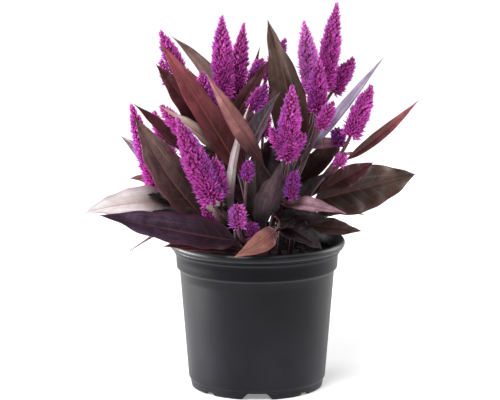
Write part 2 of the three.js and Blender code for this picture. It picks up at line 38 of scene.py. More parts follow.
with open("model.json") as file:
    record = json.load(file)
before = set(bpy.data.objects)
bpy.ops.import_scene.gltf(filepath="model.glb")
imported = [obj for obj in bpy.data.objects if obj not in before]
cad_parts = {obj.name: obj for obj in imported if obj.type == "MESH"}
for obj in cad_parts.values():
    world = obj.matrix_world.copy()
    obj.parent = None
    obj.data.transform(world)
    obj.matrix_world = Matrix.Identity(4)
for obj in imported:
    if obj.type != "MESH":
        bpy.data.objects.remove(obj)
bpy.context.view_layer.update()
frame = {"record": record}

MM = 0.001
UP = Vector((0, 0, 1))

# ---- Sizes in millimetres, as in the solids; shares have no unit ----
# Pot
POT_HEIGHT = 102
LIP_RADIUS = 60
BAND_RADIUS = 55.4
BODY_RADIUS = 52.7
FOOT_RADIUS = 45.5
STEP_HEIGHT = 82
BEAD_HEIGHT = 94
LIP_HEIGHT = 5.4
LIP_ROLL = (1.9, 2.6)  # half the width and half the height of the rolled lip
LIP_BEARINGS = range(-70, 91, 20)  # degrees round the roll
WALL = 1.4
WALL_STEPS = 14
WALL_FOOT_OUT = 1.35  # how far outside the foot the tapered wall starts
WALL_MARGIN = 1.6  # how far it stays from the foot's flare and from the step
FOOT_RING = 2.8
FOOT_FLARE = 6
BASE_RAISE = 5
NOTCH_PAIRS = 4
WIDE_NOTCH = (13, 21, 4.5)  # width at the top, width at the ground, height
NARROW_NOTCH = (5, 8, 2)
NOTCH_MARGIN = 1
OUTER_DRAIN_HOLES = 4
DRAIN_HOLE_RADIUS = 4
DRAIN_HOLE_CIRCLE = 26
DRAIN_HOLE_SIDES = 28
CUT_MARGIN = 2
SHARP_EDGE = 40  # degrees between faces that meet in a crisp edge
# Soil
SOIL_LEVEL = 91
SOIL_DOME = 2
SOIL_GAP = 0.6
SOIL_SIDES = 160
SOIL_RINGS = 58
STEM_CLEARANCE = 3.6  # no crumb lies nearer to a stem
# Stems and side branches
ROOT_DEPTH = 13
STEM_FOOT_RADIUS = 1.7
STEM_NECK_RADIUS = 1.1
BRANCH_RADIUS = 1.0
STEM_RISE = 0.42  # share of a stem's length over which it rises straight
STEM_RUN = 0.3  # share over which it runs in line with its plume
NECK_POINT = 4.4
JOINT_SWELL = 0.35
JOINT_LENGTH = 0.022  # as a share of the stem
RIB_DEPTH = 0.07
# Leaves
LEAF_FOLD = 0.3  # angle in radians between each half and a flat blade
LEAF_WAVES = 1.5
LEAF_BELLY = 0.42
WAVE_SHARE = 0.05
RIPPLE_SHARE = 0.034
BLADE_CROWN = 0.06
EDGE_THINNING = 0.45
FULL_LEAF_WIDTH = 16  # a leaf of this width has veins and midrib of the full depth
MIDRIB_GROOVE = 0.25
MIDRIB_KEEL = 0.42
TIP_WIDTH = 0.24
VEIN_SWEEP = 1.5
VEIN_CURVE = 1.25
PETIOLE = 0.1
PETIOLE_WIDTH = 1.5
# Plumes
NECK_HOLLOW = 5.6
SIDE_SPIKE_OUT = 3
SIDE_SPIKE_SPREAD = 0.5
SIDE_SPIKE_RISE = 0.85
SPIKE_ROUNDING = 0.6  # share of a spike that its rounded top takes up
CORE_SIDES = 14
CORE_BANDS = 16
GOLDEN_ANGLE = math.pi * (3 - math.sqrt(5))
FLORET_SINK = 0.4
TEPALS = 5
TEPAL_WIDTH = 0.29  # as a share of its length
TEPAL_BELLY = 0.45
CROWN_TEPALS = 6
# Stage
FLOOR_REACH = 6000
SENSOR_WIDTH = 36
SUN_SPREAD = 32  # degrees, for soft-edged shadows

# ---- Finishes ----
WHITE = (1.0, 1.0, 1.0, 1.0)
# The pot's finishes in the order of its faces, each with how strongly it mirrors light; the band
# mirrors less, which stands in for the shade under the lip.
POT_FINISHES = (("charcoal_body", 0.22), ("charcoal_band", 0.12), ("charcoal_lip", 0.29))
BODY, BAND, LIP = range(len(POT_FINISHES))
BAND_FROM = STEP_HEIGHT + 1.5  # height at which the band's finish takes over from the body's
# Heights of the step, the bead and the lip's lower and upper edges, where thin highlight lines are
# painted
HIGHLIT_EDGES = (STEP_HEIGHT + 0.7, BEAD_HEIGHT, POT_HEIGHT - LIP_HEIGHT + 0.8, POT_HEIGHT - 0.6)
HIGHLIGHT_REACH = 1  # millimetres above and below each edge with a painted highlight line
HIGHLIGHT_SHARE = 0.24
GRIT_FROM = 0.93  # a crumb whose chance is above this is a light grain
LEAF_SPECULAR = 0.19
FLORET_SPECULAR = 0.35
NOISE_LAYERS = 40.0  # how far the tint moves a leaf through its noise
# A leaf's two skins: how strong the veins are, the least roughness, and how far in millimetres the
# veins stand out, or are sunk where it is less than 0.
LEAF_SKINS = {"upper": (0.45, 0.36, -0.2), "under": (0.75, 0.46, 0.2)}
RIM_SHARES = (0.62, 0.48, 0.72)  # how much of the veins' red, green and blue a leaf's rim keeps
# Where the cool violet starts and fills the florets, how much pale pink washes over them, how pale
# their points are and how dark their shaded side is.
FLORET_FINISHES = {
    "magenta": (0.6, 1.3, 0.0, 0.58, 0.72),
    "violet": (-0.3, 0.7, 0.0, 0.1, 1.0),
    "orchid": (0.3, 1.1, 0.2, 0.6, 0.5),
    # The bright finish is partly a paler plume and partly painted light on a plume that lies in a
    # leaf's shade.
    "bright": (0.9, 1.6, 0.95, 0.8, 0.3),
}
# Leaf colours as a screen shows them: upper side, underside and veins.
LEAF_TONES = {
    "olive": ((69, 47, 37), (112, 78, 74), (98, 56, 48)),
    "bronze": ((100, 74, 70), (124, 92, 88), (126, 82, 80)),
    "fawn": ((132, 106, 98), (130, 98, 92), (98, 68, 64)),
    "plum": ((66, 46, 66), (130, 98, 108), (96, 54, 66)),
    "maroon": ((80, 38, 42), (116, 66, 70), (116, 58, 60)),
    "rust": ((160, 80, 87), (140, 86, 84), (150, 80, 78)),
    # The shade tone is painted shade: near-black leaves that fill the dark inside of the plant.
    "shade": ((34, 24, 27), (66, 46, 50), (58, 34, 38)),
    "mauve": ((44, 32, 36), (76, 55, 61), (46, 28, 34)),
    "tan": ((140, 84, 84), (158, 103, 102), (108, 60, 62)),
    "silver": ((126, 108, 116), (112, 84, 94), (74, 50, 60)),
    "slate": ((64, 50, 57), (112, 84, 94), (150, 130, 138)),
    "lilac": ((172, 158, 184), (134, 104, 132), (120, 100, 132)),
    # The pale upper side is the leaf's own pale colour with a painted highlight for the glare on
    # it.
    "pale": ((255, 243, 239), (156, 104, 112), (196, 150, 156)),
    "ash": ((250, 216, 216), (252, 218, 218), (150, 104, 108)),
    "rose": ((156, 120, 132), (130, 78, 90), (112, 50, 62)),
    # The beige upper side is partly its own colour and partly painted light, bright though the leaf
    # lies in shade.
    "beige": ((255, 200, 184), (150, 96, 92), (110, 54, 50)),
    "orange": ((150, 100, 88), (160, 106, 92), (176, 88, 98)),
    # The straw upper side is partly its own cream colour and partly painted light that shines
    # through the leaf from behind.
    "straw": ((250, 232, 208), (170, 150, 120), (170, 136, 112)),
}
# How far along a leaf the dark foot reaches, partly a red flush and partly painted shade deep in
# the plant, and the tones with their own reach.
FLUSH_AND_SHADE_REACH = 0.5
FLUSH_AND_SHADE_REACH_OF = {
    "rust": 0.96,
    "bronze": 0.8,
    "maroon": 0.8,
    "olive": 0.7,
    "plum": 0.75,
    "beige": 0.85,
    "shade": 0.8,
    "lilac": 0.2,
    "fawn": 0.2,
    "pale": 0.64,
}


# ---- The plant, as in the solids, with a colour for each leaf ----
def plume(tip, radius, finish="magenta", lobes=()):
    """A flower spike up to its tip; each lobe has a bearing, a length and a radius."""
    return {"tip": tip, "radius": radius, "finish": finish, "lobes": lobes}


def leaf(at, tip, width, tone, arch=4, rise=0, roll=0, petiole=PETIOLE):
    """A leaf from this share of its stem's length to its tip, turned by roll about its length."""
    return dict(
        at=at, tip=tip, width=width, tone=tone, arch=arch, rise=rise, roll=roll, petiole=petiole
    )


def branch(at, neck, head):
    """A side branch with a plume of its own."""
    return {"at": at, "neck": neck, "head": head}


def stem(root, neck, head, leaves, branches=()):
    """A stem from its place in the soil to the foot of its plume."""
    return {"root": root, "neck": neck, "head": head, "leaves": leaves, "branches": branches}


STEMS = [
    stem((14, 2), (45, 5, 203), plume((54, 10, 263), 6.8), [
        leaf(0.72, (45, -7, 166), 8, "orange", arch=2, roll=60),
        leaf(0.3, (31, -4, 178), 13, "shade", arch=3, roll=-60),
    ]),
    stem((-4, 5), (-23, 4, 198), plume((-24, 10, 254), 7.2), [
        leaf(0.75, (8, 4, 224), 12, "maroon", arch=2, roll=-70),
        leaf(0.68, (-47, 5, 218), 12, "tan", arch=3, roll=60),
        leaf(0.5, (-64, -44, 200), 13, "beige", arch=2, roll=60),
        leaf(0.2, (-52, 62, 140), 16, "maroon", arch=8),
    ], [branch(0.62, (-33, -10, 192), plume((-37, -10, 218), 6.5))]),
    stem((2, 11), (-15, 17, 193), plume((-9, 28, 247), 6.2), [
        leaf(0.8, (-58, 25, 237), 12, "fawn", arch=4, roll=60, rise=6),
        leaf(0.72, (2, 20, 231), 7, "maroon", arch=2, roll=-60),
    ], [branch(0.75, (-4, 9, 207), plume((4, 11, 225), 5))]),
    # This stem's plume takes the bright finish, partly painted light where a leaf shades it.
    stem((13, 15), (38, 25, 197), plume((32, 40, 247), 7, "bright"), [
        leaf(0.6, (16, 84, 182), 17, "maroon", arch=8),
        leaf(0.72, (47, 60, 210), 12, "olive", arch=4, roll=-30),
        leaf(0.4, (50, 58, 166), 15, "olive", arch=8),
    ]),
    stem((21, 9), (51, 22, 199), plume((67, 30, 222), 6.3), [
        leaf(0.25, (66, 30, 146), 12, "shade", arch=4, roll=-75, petiole=0.3),
        leaf(0.14, (72, 14, 104), 13, "bronze", arch=2, roll=-60, petiole=0.3, rise=-1),
        leaf(0.6, (63, 2, 167), 9, "rose", arch=2, roll=-60),
        leaf(0.33, (61, 37, 170), 15, "olive", arch=4, roll=-60),
    ]),
    stem((15, -7), (40, -15, 191), plume((41, -15, 227), 6.5), [
        leaf(0.55, (7, 4, 251), 28, "olive", arch=4, roll=80, rise=6),
        leaf(0.66, (85, -10, 228), 7, "lilac", arch=3, roll=-70),
        leaf(0.2, (47, -24, 152), 14, "shade", arch=3, roll=-60),
        leaf(0.12, (22, -24, 163), 20, "shade", arch=2),
    ], [branch(0.6, (42, -25, 182), plume((51, -25, 201), 5))]),
    stem((23, -6), (62, -20, 175), plume((77, -13, 210), 6.8), [
        leaf(0.36, (110, 40, 139), 34, "olive", arch=4, roll=-80, rise=1),
        leaf(0.42, (79, 8, 153), 15, "maroon", arch=3, roll=-70, petiole=0.3),
        leaf(0.66, (112, 45, 190), 8, "rust", arch=3, roll=-65, rise=-2, petiole=0.22),
    ], [
        branch(0.72, (55, -5, 166), plume((55, -4, 180), 5.4, "violet")),
        branch(0.6, (54, -25, 156), plume((59, -25, 166), 4.2)),
    ]),
    stem((8, -17), (20, -45, 164), plume((23, -45, 215), 7.3, "magenta", (
        (180, 20, 4.6),
        (0, 15, 4.4),
        (-80, 12, 4.2),
    )), [
        leaf(0.62, (-33, -58, 223), 12.5, "tan", arch=-3, roll=-75, petiole=0.3),
        leaf(0.5, (58, -75, 134), 12, "rose", arch=3, roll=-40),
        leaf(0.25, (43, -50, 105), 19, "shade", arch=7, roll=-35, petiole=0.3),
        leaf(0.3, (49, -32, 121), 15, "shade", arch=3, roll=-50),
        leaf(0.12, (24, -58, 122), 12, "shade", arch=3, roll=-20),
        leaf(0.36, (-15, -66, 103), 15, "orange", arch=17, roll=66, rise=-2, petiole=0.48),
    ], [branch(0.55, (22, -55, 141), plume((25, -57, 160), 4.8, "violet"))]),
    stem((-9, -17), (-29, -50, 136), plume((-53, -50, 194), 8.6), [
        leaf(0.12, (-80, -55, 194), 30, "bronze", arch=2, roll=78, rise=-10, petiole=0.36),
        leaf(0.5, (-5, -34, 200), 7, "ash", arch=2, roll=60, rise=4),
    ], [
        branch(0.75, (-24, -40, 139), plume((-29, -39, 166), 5.8)),
        branch(0.6, (-28, -44, 120), plume((-37, -47, 133), 3.2)),
    ]),
    stem((-20, -4), (-67, -20, 139), plume((-85, -15, 198), 6.5), [
        leaf(0.6, (-93, 15, 170), 14, "silver", arch=4, roll=60, rise=5),
        leaf(0.65, (-114.5, -60, 131), 24, "pale", arch=5, roll=45, rise=3),
        leaf(0.4, (-84, -60, 106), 6, "rose", arch=4),
        leaf(0.35, (-84, -60, 128), 13, "shade", arch=3, roll=40),
        leaf(0.75, (-73, -36, 139), 12, "shade", arch=2, roll=30),
    ]),
    stem((-14, 7), (-50, 12, 208), plume((-66, 15, 243), 6), [
        leaf(0.38, (-83, -3, 195), 14, "maroon", arch=4, roll=60, rise=-3),
        leaf(0.56, (-68, -3, 222), 20, "maroon", arch=3, roll=75),
    ], [
        branch(0.5, (-63, 6, 170), plume((-69, 5, 184), 4)),
        branch(0.75, (-60, 6, 207), plume((-65, 6, 225), 3.6)),
    ]),
    stem((1, -5), (-4, -10, 192), plume((7, -10, 210), 5.2), [
        leaf(0.4, (-65, -28, 241), 20, "rust", arch=2, roll=80),
        leaf(0.55, (15, -30, 207), 18, "slate", arch=3, roll=-75),
        leaf(0.15, (-30, -22, 128), 12, "shade", arch=4, roll=50),
        leaf(0.1, (-1, -28, 172), 19, "shade", arch=2),
    ]),
    stem((5, 19), (6, 30, 206), plume((20, 35, 235), 5.4), [
        leaf(0.5, (-14, 84, 178), 17, "olive", arch=8),
        leaf(0.12, (12, 52, 168), 22, "shade", arch=4),
    ]),
    stem((-13, -7), (-46, -25, 176), plume((-65, -18, 197), 5.4), [
        leaf(0.2, (-54, -12, 131), 17, "straw", arch=4, roll=60),
    ]),
    stem((-2, -31), (-13, -62, 122), plume((-13, -63, 139), 5.6, "orchid"), [
        leaf(0.45, (-102, -85, 135), 27, "plum", arch=3, roll=50, rise=-3),
        leaf(0.1, (-62, -60, 109), 16, "maroon", arch=4, roll=40),
        leaf(0.3, (16, -66, 168), 24, "mauve", arch=-5, petiole=0.3),
    ], [
        branch(0.6, (-4, -55, 115), plume((-3, -57, 125), 4.4, "violet")),
        branch(0.45, (-7, -57, 153), plume((-5.5, -57, 167), 4.2, "violet")),
    ]),
    stem((-12, 22), (-30, 60, 165), plume((-36, 70, 205), 6.2), [
        leaf(0.5, (-58, 82, 150), 19, "olive", arch=10),
        leaf(0.68, (-67, 48, 178), 15, "maroon", arch=8),
        leaf(0.15, (-44, 80, 116), 18, "maroon", arch=8),
        leaf(0.1, (-14, 54, 156), 20, "shade", arch=4),
    ]),
    stem((17, 26), (38, 62, 166), plume((45, 74, 206), 6.3), [
        leaf(0.45, (72, 74, 146), 19, "maroon", arch=10),
        leaf(0.2, (40, 84, 124), 19, "olive", arch=10),
    ]),
    stem((2, 31), (4, 66, 160), plume((5, 78, 197), 6), [
        leaf(0.3, (-14, 85, 126), 19, "olive", arch=10),
        leaf(0.6, (22, 82, 158), 14, "rust", arch=7),
    ]),
    stem((-24, 15), (-60, 46, 148), plume((-72, 55, 182), 5.6), [
        leaf(0.5, (-88, 30, 138), 16, "tan", arch=6, roll=40),
        leaf(0.3, (-68, 66, 120), 17, "olive", arch=8),
        leaf(0.15, (-72, 18, 128), 16, "shade", arch=4, roll=30),
    ]),
    stem((27, 20), (58, 48, 116), plume((73, 60, 140), 5.6), [
        leaf(0.25, (75, 42, 110), 15, "olive", arch=5),
        leaf(0.35, (40, 84, 104), 15, "maroon", arch=6),
    ]),
]


# ---- Settings ----
def screen(red, green, blue):
    """A colour given as it looks on a screen, in the linear values that shaders take."""
    def linear(value):
        share = value / 255
        return share / 12.92 if share <= 0.04045 else ((share + 0.055) / 1.055) ** 2.4

    return tuple(linear(value) for value in (red, green, blue))


def colour_setting(name, description, red, green, blue):
    return FloatVectorProperty(
        name=name,
        description=description,
        subtype="COLOR",
        size=3,
        min=0.0,
        max=1.0,
        default=screen(red, green, blue),
    )


def length_setting(name, description, millimetres):
    default = millimetres * MM
    return FloatProperty(name=name, description=description, default=default, unit="LENGTH")


def count_setting(name, description, default, least, most):
    return IntProperty(name=name, description=description, default=default, min=least, max=most)


def strength_setting(name, description, default):
    return FloatProperty(name=name, description=description, default=default, min=0)


class PotSettings(bpy.types.PropertyGroup):
    segments: count_setting("Segments", "Faces round the pot", 240, 48, 480)
    plastic: colour_setting("Plastic", "Colour of the moulded plastic", 13, 12, 20)
    scuffed: colour_setting("Dusty plastic", "Colour where it is dusty", 46, 45, 54)
    # Colour of the painted highlight lines along the pot's edges
    highlit: colour_setting("Highlit plastic", "Colour of its rubbed edges", 92, 92, 100)


class SoilSettings(bpy.types.PropertyGroup):
    crumbs: count_setting("Crumbs", "Loose crumbs on the soil", 520, 0, 2000)
    crumb_size: length_setting("Crumb size", "Width of a middling crumb", 2.2)
    peat: colour_setting("Peat", "Colour of the moist peat", 36, 28, 24)
    grit: colour_setting("Grit", "Colour of the light specks in it", 168, 158, 140)


class StemSettings(bpy.types.PropertyGroup):
    sides: count_setting("Sides", "Faces round a stem", 10, 5, 24)
    steps: count_setting("Steps", "Rings along a stem", 30, 8, 90)
    bark: colour_setting("Stem", "Colour of the stems", 48, 26, 32)
    young: colour_setting("Young stem", "Colour of the stems near the plumes", 92, 46, 62)


class LeafSettings(bpy.types.PropertyGroup):
    stations: count_setting("Stations", "Rows of faces along a leaf", 52, 12, 120)
    columns: count_setting("Columns", "Faces across half a leaf", 8, 3, 16)
    veins: count_setting("Side veins", "Side veins on each half of a leaf", 9, 3, 20)
    thickness: length_setting("Thickness", "Thickness of a blade beside its midrib", 0.6)
    quilting: length_setting("Quilting", "How far the blade swells between its side veins", 0.28)


class FloretSettings(bpy.types.PropertyGroup):
    spacing: length_setting("Spacing", "Distance between neighbouring florets", 2.2)
    tepal: length_setting("Tepal length", "Length of one pointed tepal", 4.4)
    # The deep colour is painted shade in the gaps between the florets.
    deep: colour_setting("Deep", "Colour deep between the florets", 112, 14, 58)
    magenta: colour_setting("Magenta", "Main colour of the plumes", 222, 76, 197)
    violet: colour_setting("Violet", "Colour of the young plumes and cooler sides", 144, 60, 178)
    pink: colour_setting("Tips", "Colour of the tepals' tips", 238, 140, 232)


class StageSettings(bpy.types.PropertyGroup):
    lens: FloatProperty(
        name="Lens",
        description="Focal length of the camera",
        default=188.8,
        subtype="DISTANCE_CAMERA",
    )
    pitch: FloatProperty(
        name="Pitch",
        description="How far the camera looks down",
        default=math.radians(10.98),
        subtype="ANGLE",
    )
    camera: FloatVectorProperty(
        name="Camera",
        description="Where the camera stands",
        subtype="TRANSLATION",
        unit="LENGTH",
        default=(-0.0048, -1.75, 0.468),
    )
    floor: colour_setting("Floor", "Colour of the floor", 250, 250, 250)
    glow: strength_setting("Floor glow", "Light that the lit floor gives off", 0.25)
    sky: strength_setting("Surround", "Strength of the soft light from all round", 0.25)
    key: strength_setting("Key light", "Strength of the light from the upper left", 2.45)


# ---- Helpers ----
def chance(index):
    """A repeatable number from 0 to 1 for a place in a series."""
    wave = math.sin(index * 127.1 + 11.7) * 43758.5453
    return wave - math.floor(wave)


def mix(low, high, share):
    """The value that lies this share of the way from low to high."""
    return low + (high - low) * share


def smooth(low, high, value):
    """0 at low and 1 at high, with an eased rise between them."""
    share = min(max((value - low) / (high - low), 0.0), 1.0)
    return share * share * (3 - 2 * share)


def dim(colour, share):
    """A colour that keeps this share of its light."""
    return tuple(part * share for part in colour)


def brighten(colour, gain, lift):
    """A colour made lighter, up to full white."""
    return tuple(min(part * gain + lift, 1.0) for part in colour)


def turns(sides):
    """Bearings evenly spaced round a circle."""
    return [2 * math.pi * side / sides for side in range(sides)]


def swing(across, over, angle, reach=1.0):
    """A step of this reach, at an angle between two axes."""
    return across * (reach * math.cos(angle)) + over * (reach * math.sin(angle))


def cross_axes(direction):
    """Two axes square to a direction and to each other."""
    hint = Vector((1, 0, 0)) if abs(direction.z) > 0.9 else UP
    across = hint.cross(direction).normalized()
    return across, direction.cross(across)


class Shape:
    """Vertices, faces and what goes with them, gathered before they become one object."""

    def __init__(self):
        self.points = []
        self.faces = []
        self.materials = []
        self.places = []
        self.tints = []

    def point(self, place, where=(0.5, 0.5), tint=0.5):
        """Adds a vertex given in millimetres, with its place on the piece and its tint."""
        self.points.append((place[0] * MM, place[1] * MM, place[2] * MM))
        self.places.append(where)
        self.tints.append(tint)
        return len(self.points) - 1

    def face(self, corners, material=0):
        self.faces.append(corners)
        self.materials.append(material)

    def band(self, low, high, material=0):
        """Faces from one ring of points up to the next, where one point closes the form."""
        sides = max(len(low), len(high))
        for side in range(sides):
            after = (side + 1) % sides
            if len(low) == 1:
                self.face((low[0], high[after], high[side]), material)
            elif len(high) == 1:
                self.face((low[side], low[after], high[0]), material)
            else:
                self.face((low[side], low[after], high[after], high[side]), material)

    def bands(self, rings):
        for low, high in zip(rings, rings[1:]):
            self.band(low, high)

    def strip(self, near, far, material, turned=False):
        """Faces from one row of points to the next, turned over for an underside."""
        for column in range(len(near) - 1):
            a, b, c, d = near[column], far[column], far[column + 1], near[column + 1]
            self.face((a, d, c, b) if turned else (a, b, c, d), material)

    def build(self, name, materials, smooth_faces=True):
        """The finished object, linked to the scene."""
        mesh = bpy.data.meshes.new(name)
        mesh.from_pydata(self.points, [], self.faces)
        for material in materials:
            mesh.materials.append(material)
        mesh.polygons.foreach_set("material_index", self.materials)
        mesh.polygons.foreach_set("use_smooth", [smooth_faces] * len(self.faces))
        layer = mesh.uv_layers.new(name="place")
        corners = [0] * len(mesh.loops)
        mesh.loops.foreach_get("vertex_index", corners)
        layer.data.foreach_set("uv", [part for corner in corners for part in self.places[corner]])
        tint = mesh.attributes.new("tint", "FLOAT", "POINT")
        tint.data.foreach_set("value", self.tints)
        mesh.update()
        piece = bpy.data.objects.new(name, mesh)
        bpy.context.scene.collection.objects.link(piece)
        return piece


def dress(piece, slot, *nodes):
    """The piece rides on the frame and stands for these nodes."""
    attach(piece, "root")
    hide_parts(*nodes)


def slot_of(node):
    """The material slot that the record gives to a node."""
    for part in frame["record"]["subparts"]:
        if part["node"] == node:
            return part["material_slot"]
    raise RuntimeError(f"the record has no slot for {node}")


class Paint:
    """A node material, built up from the shader's sockets backwards."""

    MIX_INPUTS = (0, 6, 7)  # places of a Mix node's sockets for a share and two colours
    MIX_RESULT = 2

    def __init__(self, name, roughness=0.5, specular=0.5):
        self.material = bpy.data.materials.new(name)
        self.material.use_nodes = True
        self.tree = self.material.node_tree
        self.shader = self.tree.nodes["Principled BSDF"]
        self.shader.inputs["Roughness"].default_value = roughness
        self.shader.inputs["Specular IOR Level"].default_value = specular

    def node(self, kind, **values):
        made = self.tree.nodes.new(kind)
        for key, value in values.items():
            setattr(made, key, value)
        return made

    def feed(self, socket, value):
        """Links a socket to another one, or sets its number, colour or vector."""
        if isinstance(value, bpy.types.NodeSocket):
            self.tree.links.new(value, socket)
        elif socket.type == "RGBA":
            socket.default_value = (*value, 1.0)
        else:
            socket.default_value = value

    def math(self, operation, *values):
        made = self.node("ShaderNodeMath", operation=operation)
        for socket, value in zip(made.inputs, values):
            self.feed(socket, value)
        return made.outputs[0]

    def times(self, first, second):
        return self.math("MULTIPLY", first, second)

    def blend(self, share, low, high):
        """The low colour where the share is 0 and the high one where it is 1."""
        made = self.node("ShaderNodeMix", data_type="RGBA")
        for place, value in zip(self.MIX_INPUTS, (share, low, high)):
            self.feed(made.inputs[place], value)
        return made.outputs[self.MIX_RESULT]

    def coats(self, base, *layers):
        """Colours laid over a base one after another, each by its own share."""
        for share, colour in layers:
            base = self.blend(share, base, colour)
        return base

    def span(self, value, low, high, start=0.0, end=1.0):
        """Goes from start to end while the value goes from low to high."""
        made = self.node("ShaderNodeMapRange", interpolation_type="SMOOTHSTEP")
        for socket, number in zip(made.inputs, (value, low, high, start, end)):
            self.feed(socket, number)
        return made.outputs[0]

    def ridge(self, value, middle, half):
        """1 at the middle, falling to 0 on both sides of it."""
        away = self.math("ABSOLUTE", self.math("SUBTRACT", value, middle))
        return self.span(away, half, 0.0)

    def coordinates(self, stretch=None):
        """Places on the piece in metres, drawn out along an axis where stretch is given."""
        place = self.node("ShaderNodeTexCoord").outputs["Object"]
        if stretch is None:
            return place
        scaled = self.node("ShaderNodeVectorMath", operation="MULTIPLY")
        self.feed(scaled.inputs[0], place)
        self.feed(scaled.inputs[1], stretch)
        return scaled.outputs[0]

    def parts(self, vector):
        made = self.node("ShaderNodeSeparateXYZ")
        self.feed(made.inputs[0], vector)
        return made.outputs

    def height(self):
        return self.parts(self.coordinates())["Z"]

    def place(self):
        """The two coordinates that a leaf or floret carries across and along itself."""
        parts = self.parts(self.node("ShaderNodeUVMap", uv_map="place").outputs[0])
        return parts["X"], parts["Y"]

    def tint(self):
        return self.node("ShaderNodeAttribute", attribute_name="tint").outputs["Fac"]

    def stack(self, across, along, wide, long):
        """Noise coordinates that follow a leaf: wide and long are the counts across and along."""
        made = self.node("ShaderNodeCombineXYZ")
        sources = ((across, wide), (along, long), (self.tint(), NOISE_LAYERS))
        for socket, (value, count) in zip(made.inputs, sources):
            self.feed(socket, self.times(value, count))
        return made.outputs[0]

    def grain(self, scale, detail=3.0, roughness=0.5, stretch=None, vector=None):
        """Noise over the piece, or along the coordinates that are given."""
        made = self.node("ShaderNodeTexNoise")
        made.inputs["Scale"].default_value = scale
        made.inputs["Detail"].default_value = detail
        made.inputs["Roughness"].default_value = roughness
        self.feed(made.inputs["Vector"], vector or self.coordinates(stretch))
        return made.outputs["Fac"]

    def colour(self, value):
        self.feed(self.shader.inputs["Base Color"], value)

    def roughness(self, value):
        self.feed(self.shader.inputs["Roughness"], value)

    def relief(self, height, distance, strength):
        """Low relief of this depth in millimetres."""
        made = self.node("ShaderNodeBump")
        made.inputs["Strength"].default_value = strength
        made.inputs["Distance"].default_value = distance * MM
        self.feed(made.inputs["Height"], height)
        self.feed(self.shader.inputs["Normal"], made.outputs[0])


# ---- Curves that stems, branches and leaves follow ----
def cubic(points, share):
    """A place and direction on a cubic curve through a foot, two handles and a top."""
    foot, rise, run, top = points
    rest = 1 - share
    place = (
        foot * rest**3 + rise * (3 * rest**2 * share) + run * (3 * rest * share**2) + top * share**3
    )
    heading = (
        (rise - foot) * rest**2 + (run - rise) * (2 * rest * share) + (top - run) * share**2
    ).normalized()
    return place, heading


def quadratic(points, share):
    """A place and direction on a curve from a foot towards a bend and on to an end."""
    foot, bend, end = points
    rest = 1 - share
    place = foot * rest**2 + bend * (2 * rest * share) + end * share**2
    heading = ((bend - foot) * rest + (end - bend) * share).normalized()
    return place, heading


# ---- Pot ----
def pot_profile():
    """Radius and height round the pot's section, from the base's underside to its upper side.

    The offsets of less than 3 mm round off the edges of the foot, step, bead and lip.
    """
    inside = BODY_RADIUS - WALL
    band_inside = BAND_RADIUS - WALL
    foot_inside = FOOT_RADIUS - FOOT_RING
    lip_bottom = POT_HEIGHT - LIP_HEIGHT
    roll_out, roll_up = LIP_ROLL
    profile = [
        (0, BASE_RAISE),
        (foot_inside - 8, BASE_RAISE),
        (foot_inside, BASE_RAISE),
        (foot_inside, 0.4),
        (foot_inside + 0.4, 0),
        (FOOT_RADIUS - 1.3, 0),
        (FOOT_RADIUS - 0.5, 0.35),
        (FOOT_RADIUS - 0.1, 1.3),
        (FOOT_RADIUS + 0.15, 3.2),
        (FOOT_RADIUS + 0.25, FOOT_FLARE - 0.7),
        (FOOT_RADIUS + 0.7, FOOT_FLARE - 0.1),
        (FOOT_RADIUS + 1.15, FOOT_FLARE + 0.5),
    ]
    for step in range(WALL_STEPS):
        share = step / WALL_STEPS
        profile.append((
            mix(FOOT_RADIUS + WALL_FOOT_OUT, BODY_RADIUS, share),
            mix(FOOT_FLARE + WALL_MARGIN, STEP_HEIGHT - WALL_MARGIN, share),
        ))
    profile += [
        (BODY_RADIUS, STEP_HEIGHT - 1.3),
        (BODY_RADIUS + 0.5, STEP_HEIGHT - 0.7),
        (BAND_RADIUS - 1.3, STEP_HEIGHT + 0.3),
        (BAND_RADIUS - 0.7, STEP_HEIGHT + 0.9),
        (BAND_RADIUS - 0.5, STEP_HEIGHT + 1.8),
        (BAND_RADIUS - 0.25, STEP_HEIGHT + 6),
        (BAND_RADIUS, BEAD_HEIGHT - 2.2),
        (BAND_RADIUS + 0.3, BEAD_HEIGHT - 1.5),
        (BAND_RADIUS + 0.9, BEAD_HEIGHT - 0.9),
        (BAND_RADIUS + 1.35, BEAD_HEIGHT - 0.1),
        (BAND_RADIUS + 1.45, BEAD_HEIGHT + 0.9),
        (BAND_RADIUS + 1.6, BEAD_HEIGHT + 1.5),
        (BAND_RADIUS + 2.6, lip_bottom - 0.1),
        (LIP_RADIUS - 1.2, lip_bottom + 0.15),
    ]
    for degrees in LIP_BEARINGS:
        angle = math.radians(degrees)
        profile.append((
            LIP_RADIUS - roll_out + roll_out * math.cos(angle),
            POT_HEIGHT - roll_up + roll_up * math.sin(angle),
        ))
    profile += [
        (LIP_RADIUS - 2.6, POT_HEIGHT),
        (LIP_RADIUS - 3.4, POT_HEIGHT - 0.35),
        (LIP_RADIUS - 4.1, POT_HEIGHT - 1.3),
        (band_inside + 1.2, BEAD_HEIGHT + 1.6),
        (band_inside, BEAD_HEIGHT - 2),
        (band_inside - 0.6, STEP_HEIGHT + 2),
        (inside, STEP_HEIGHT - 0.6),
        (FOOT_RADIUS + 1.2 - WALL, FOOT_FLARE + 2),
        (FOOT_RADIUS - WALL, BASE_RAISE + WALL),
        (0, BASE_RAISE + WALL),
    ]
    return profile


def notch_height(angle, radius):
    """How high the foot ring is cut away at this bearing, a little more at its outer side."""
    pitch = 2 * math.pi / NOTCH_PAIRS
    level = 0.0
    for start, (top, bottom, height) in ((0, WIDE_NOTCH), (pitch / 2, NARROW_NOTCH)):
        offset = abs((angle - start + pitch / 2) % pitch - pitch / 2) * radius
        share = (bottom / 2 - offset) / ((bottom - top) / 2)
        level = max(level, height * min(max(share, 0.0), 1.0))
    return level


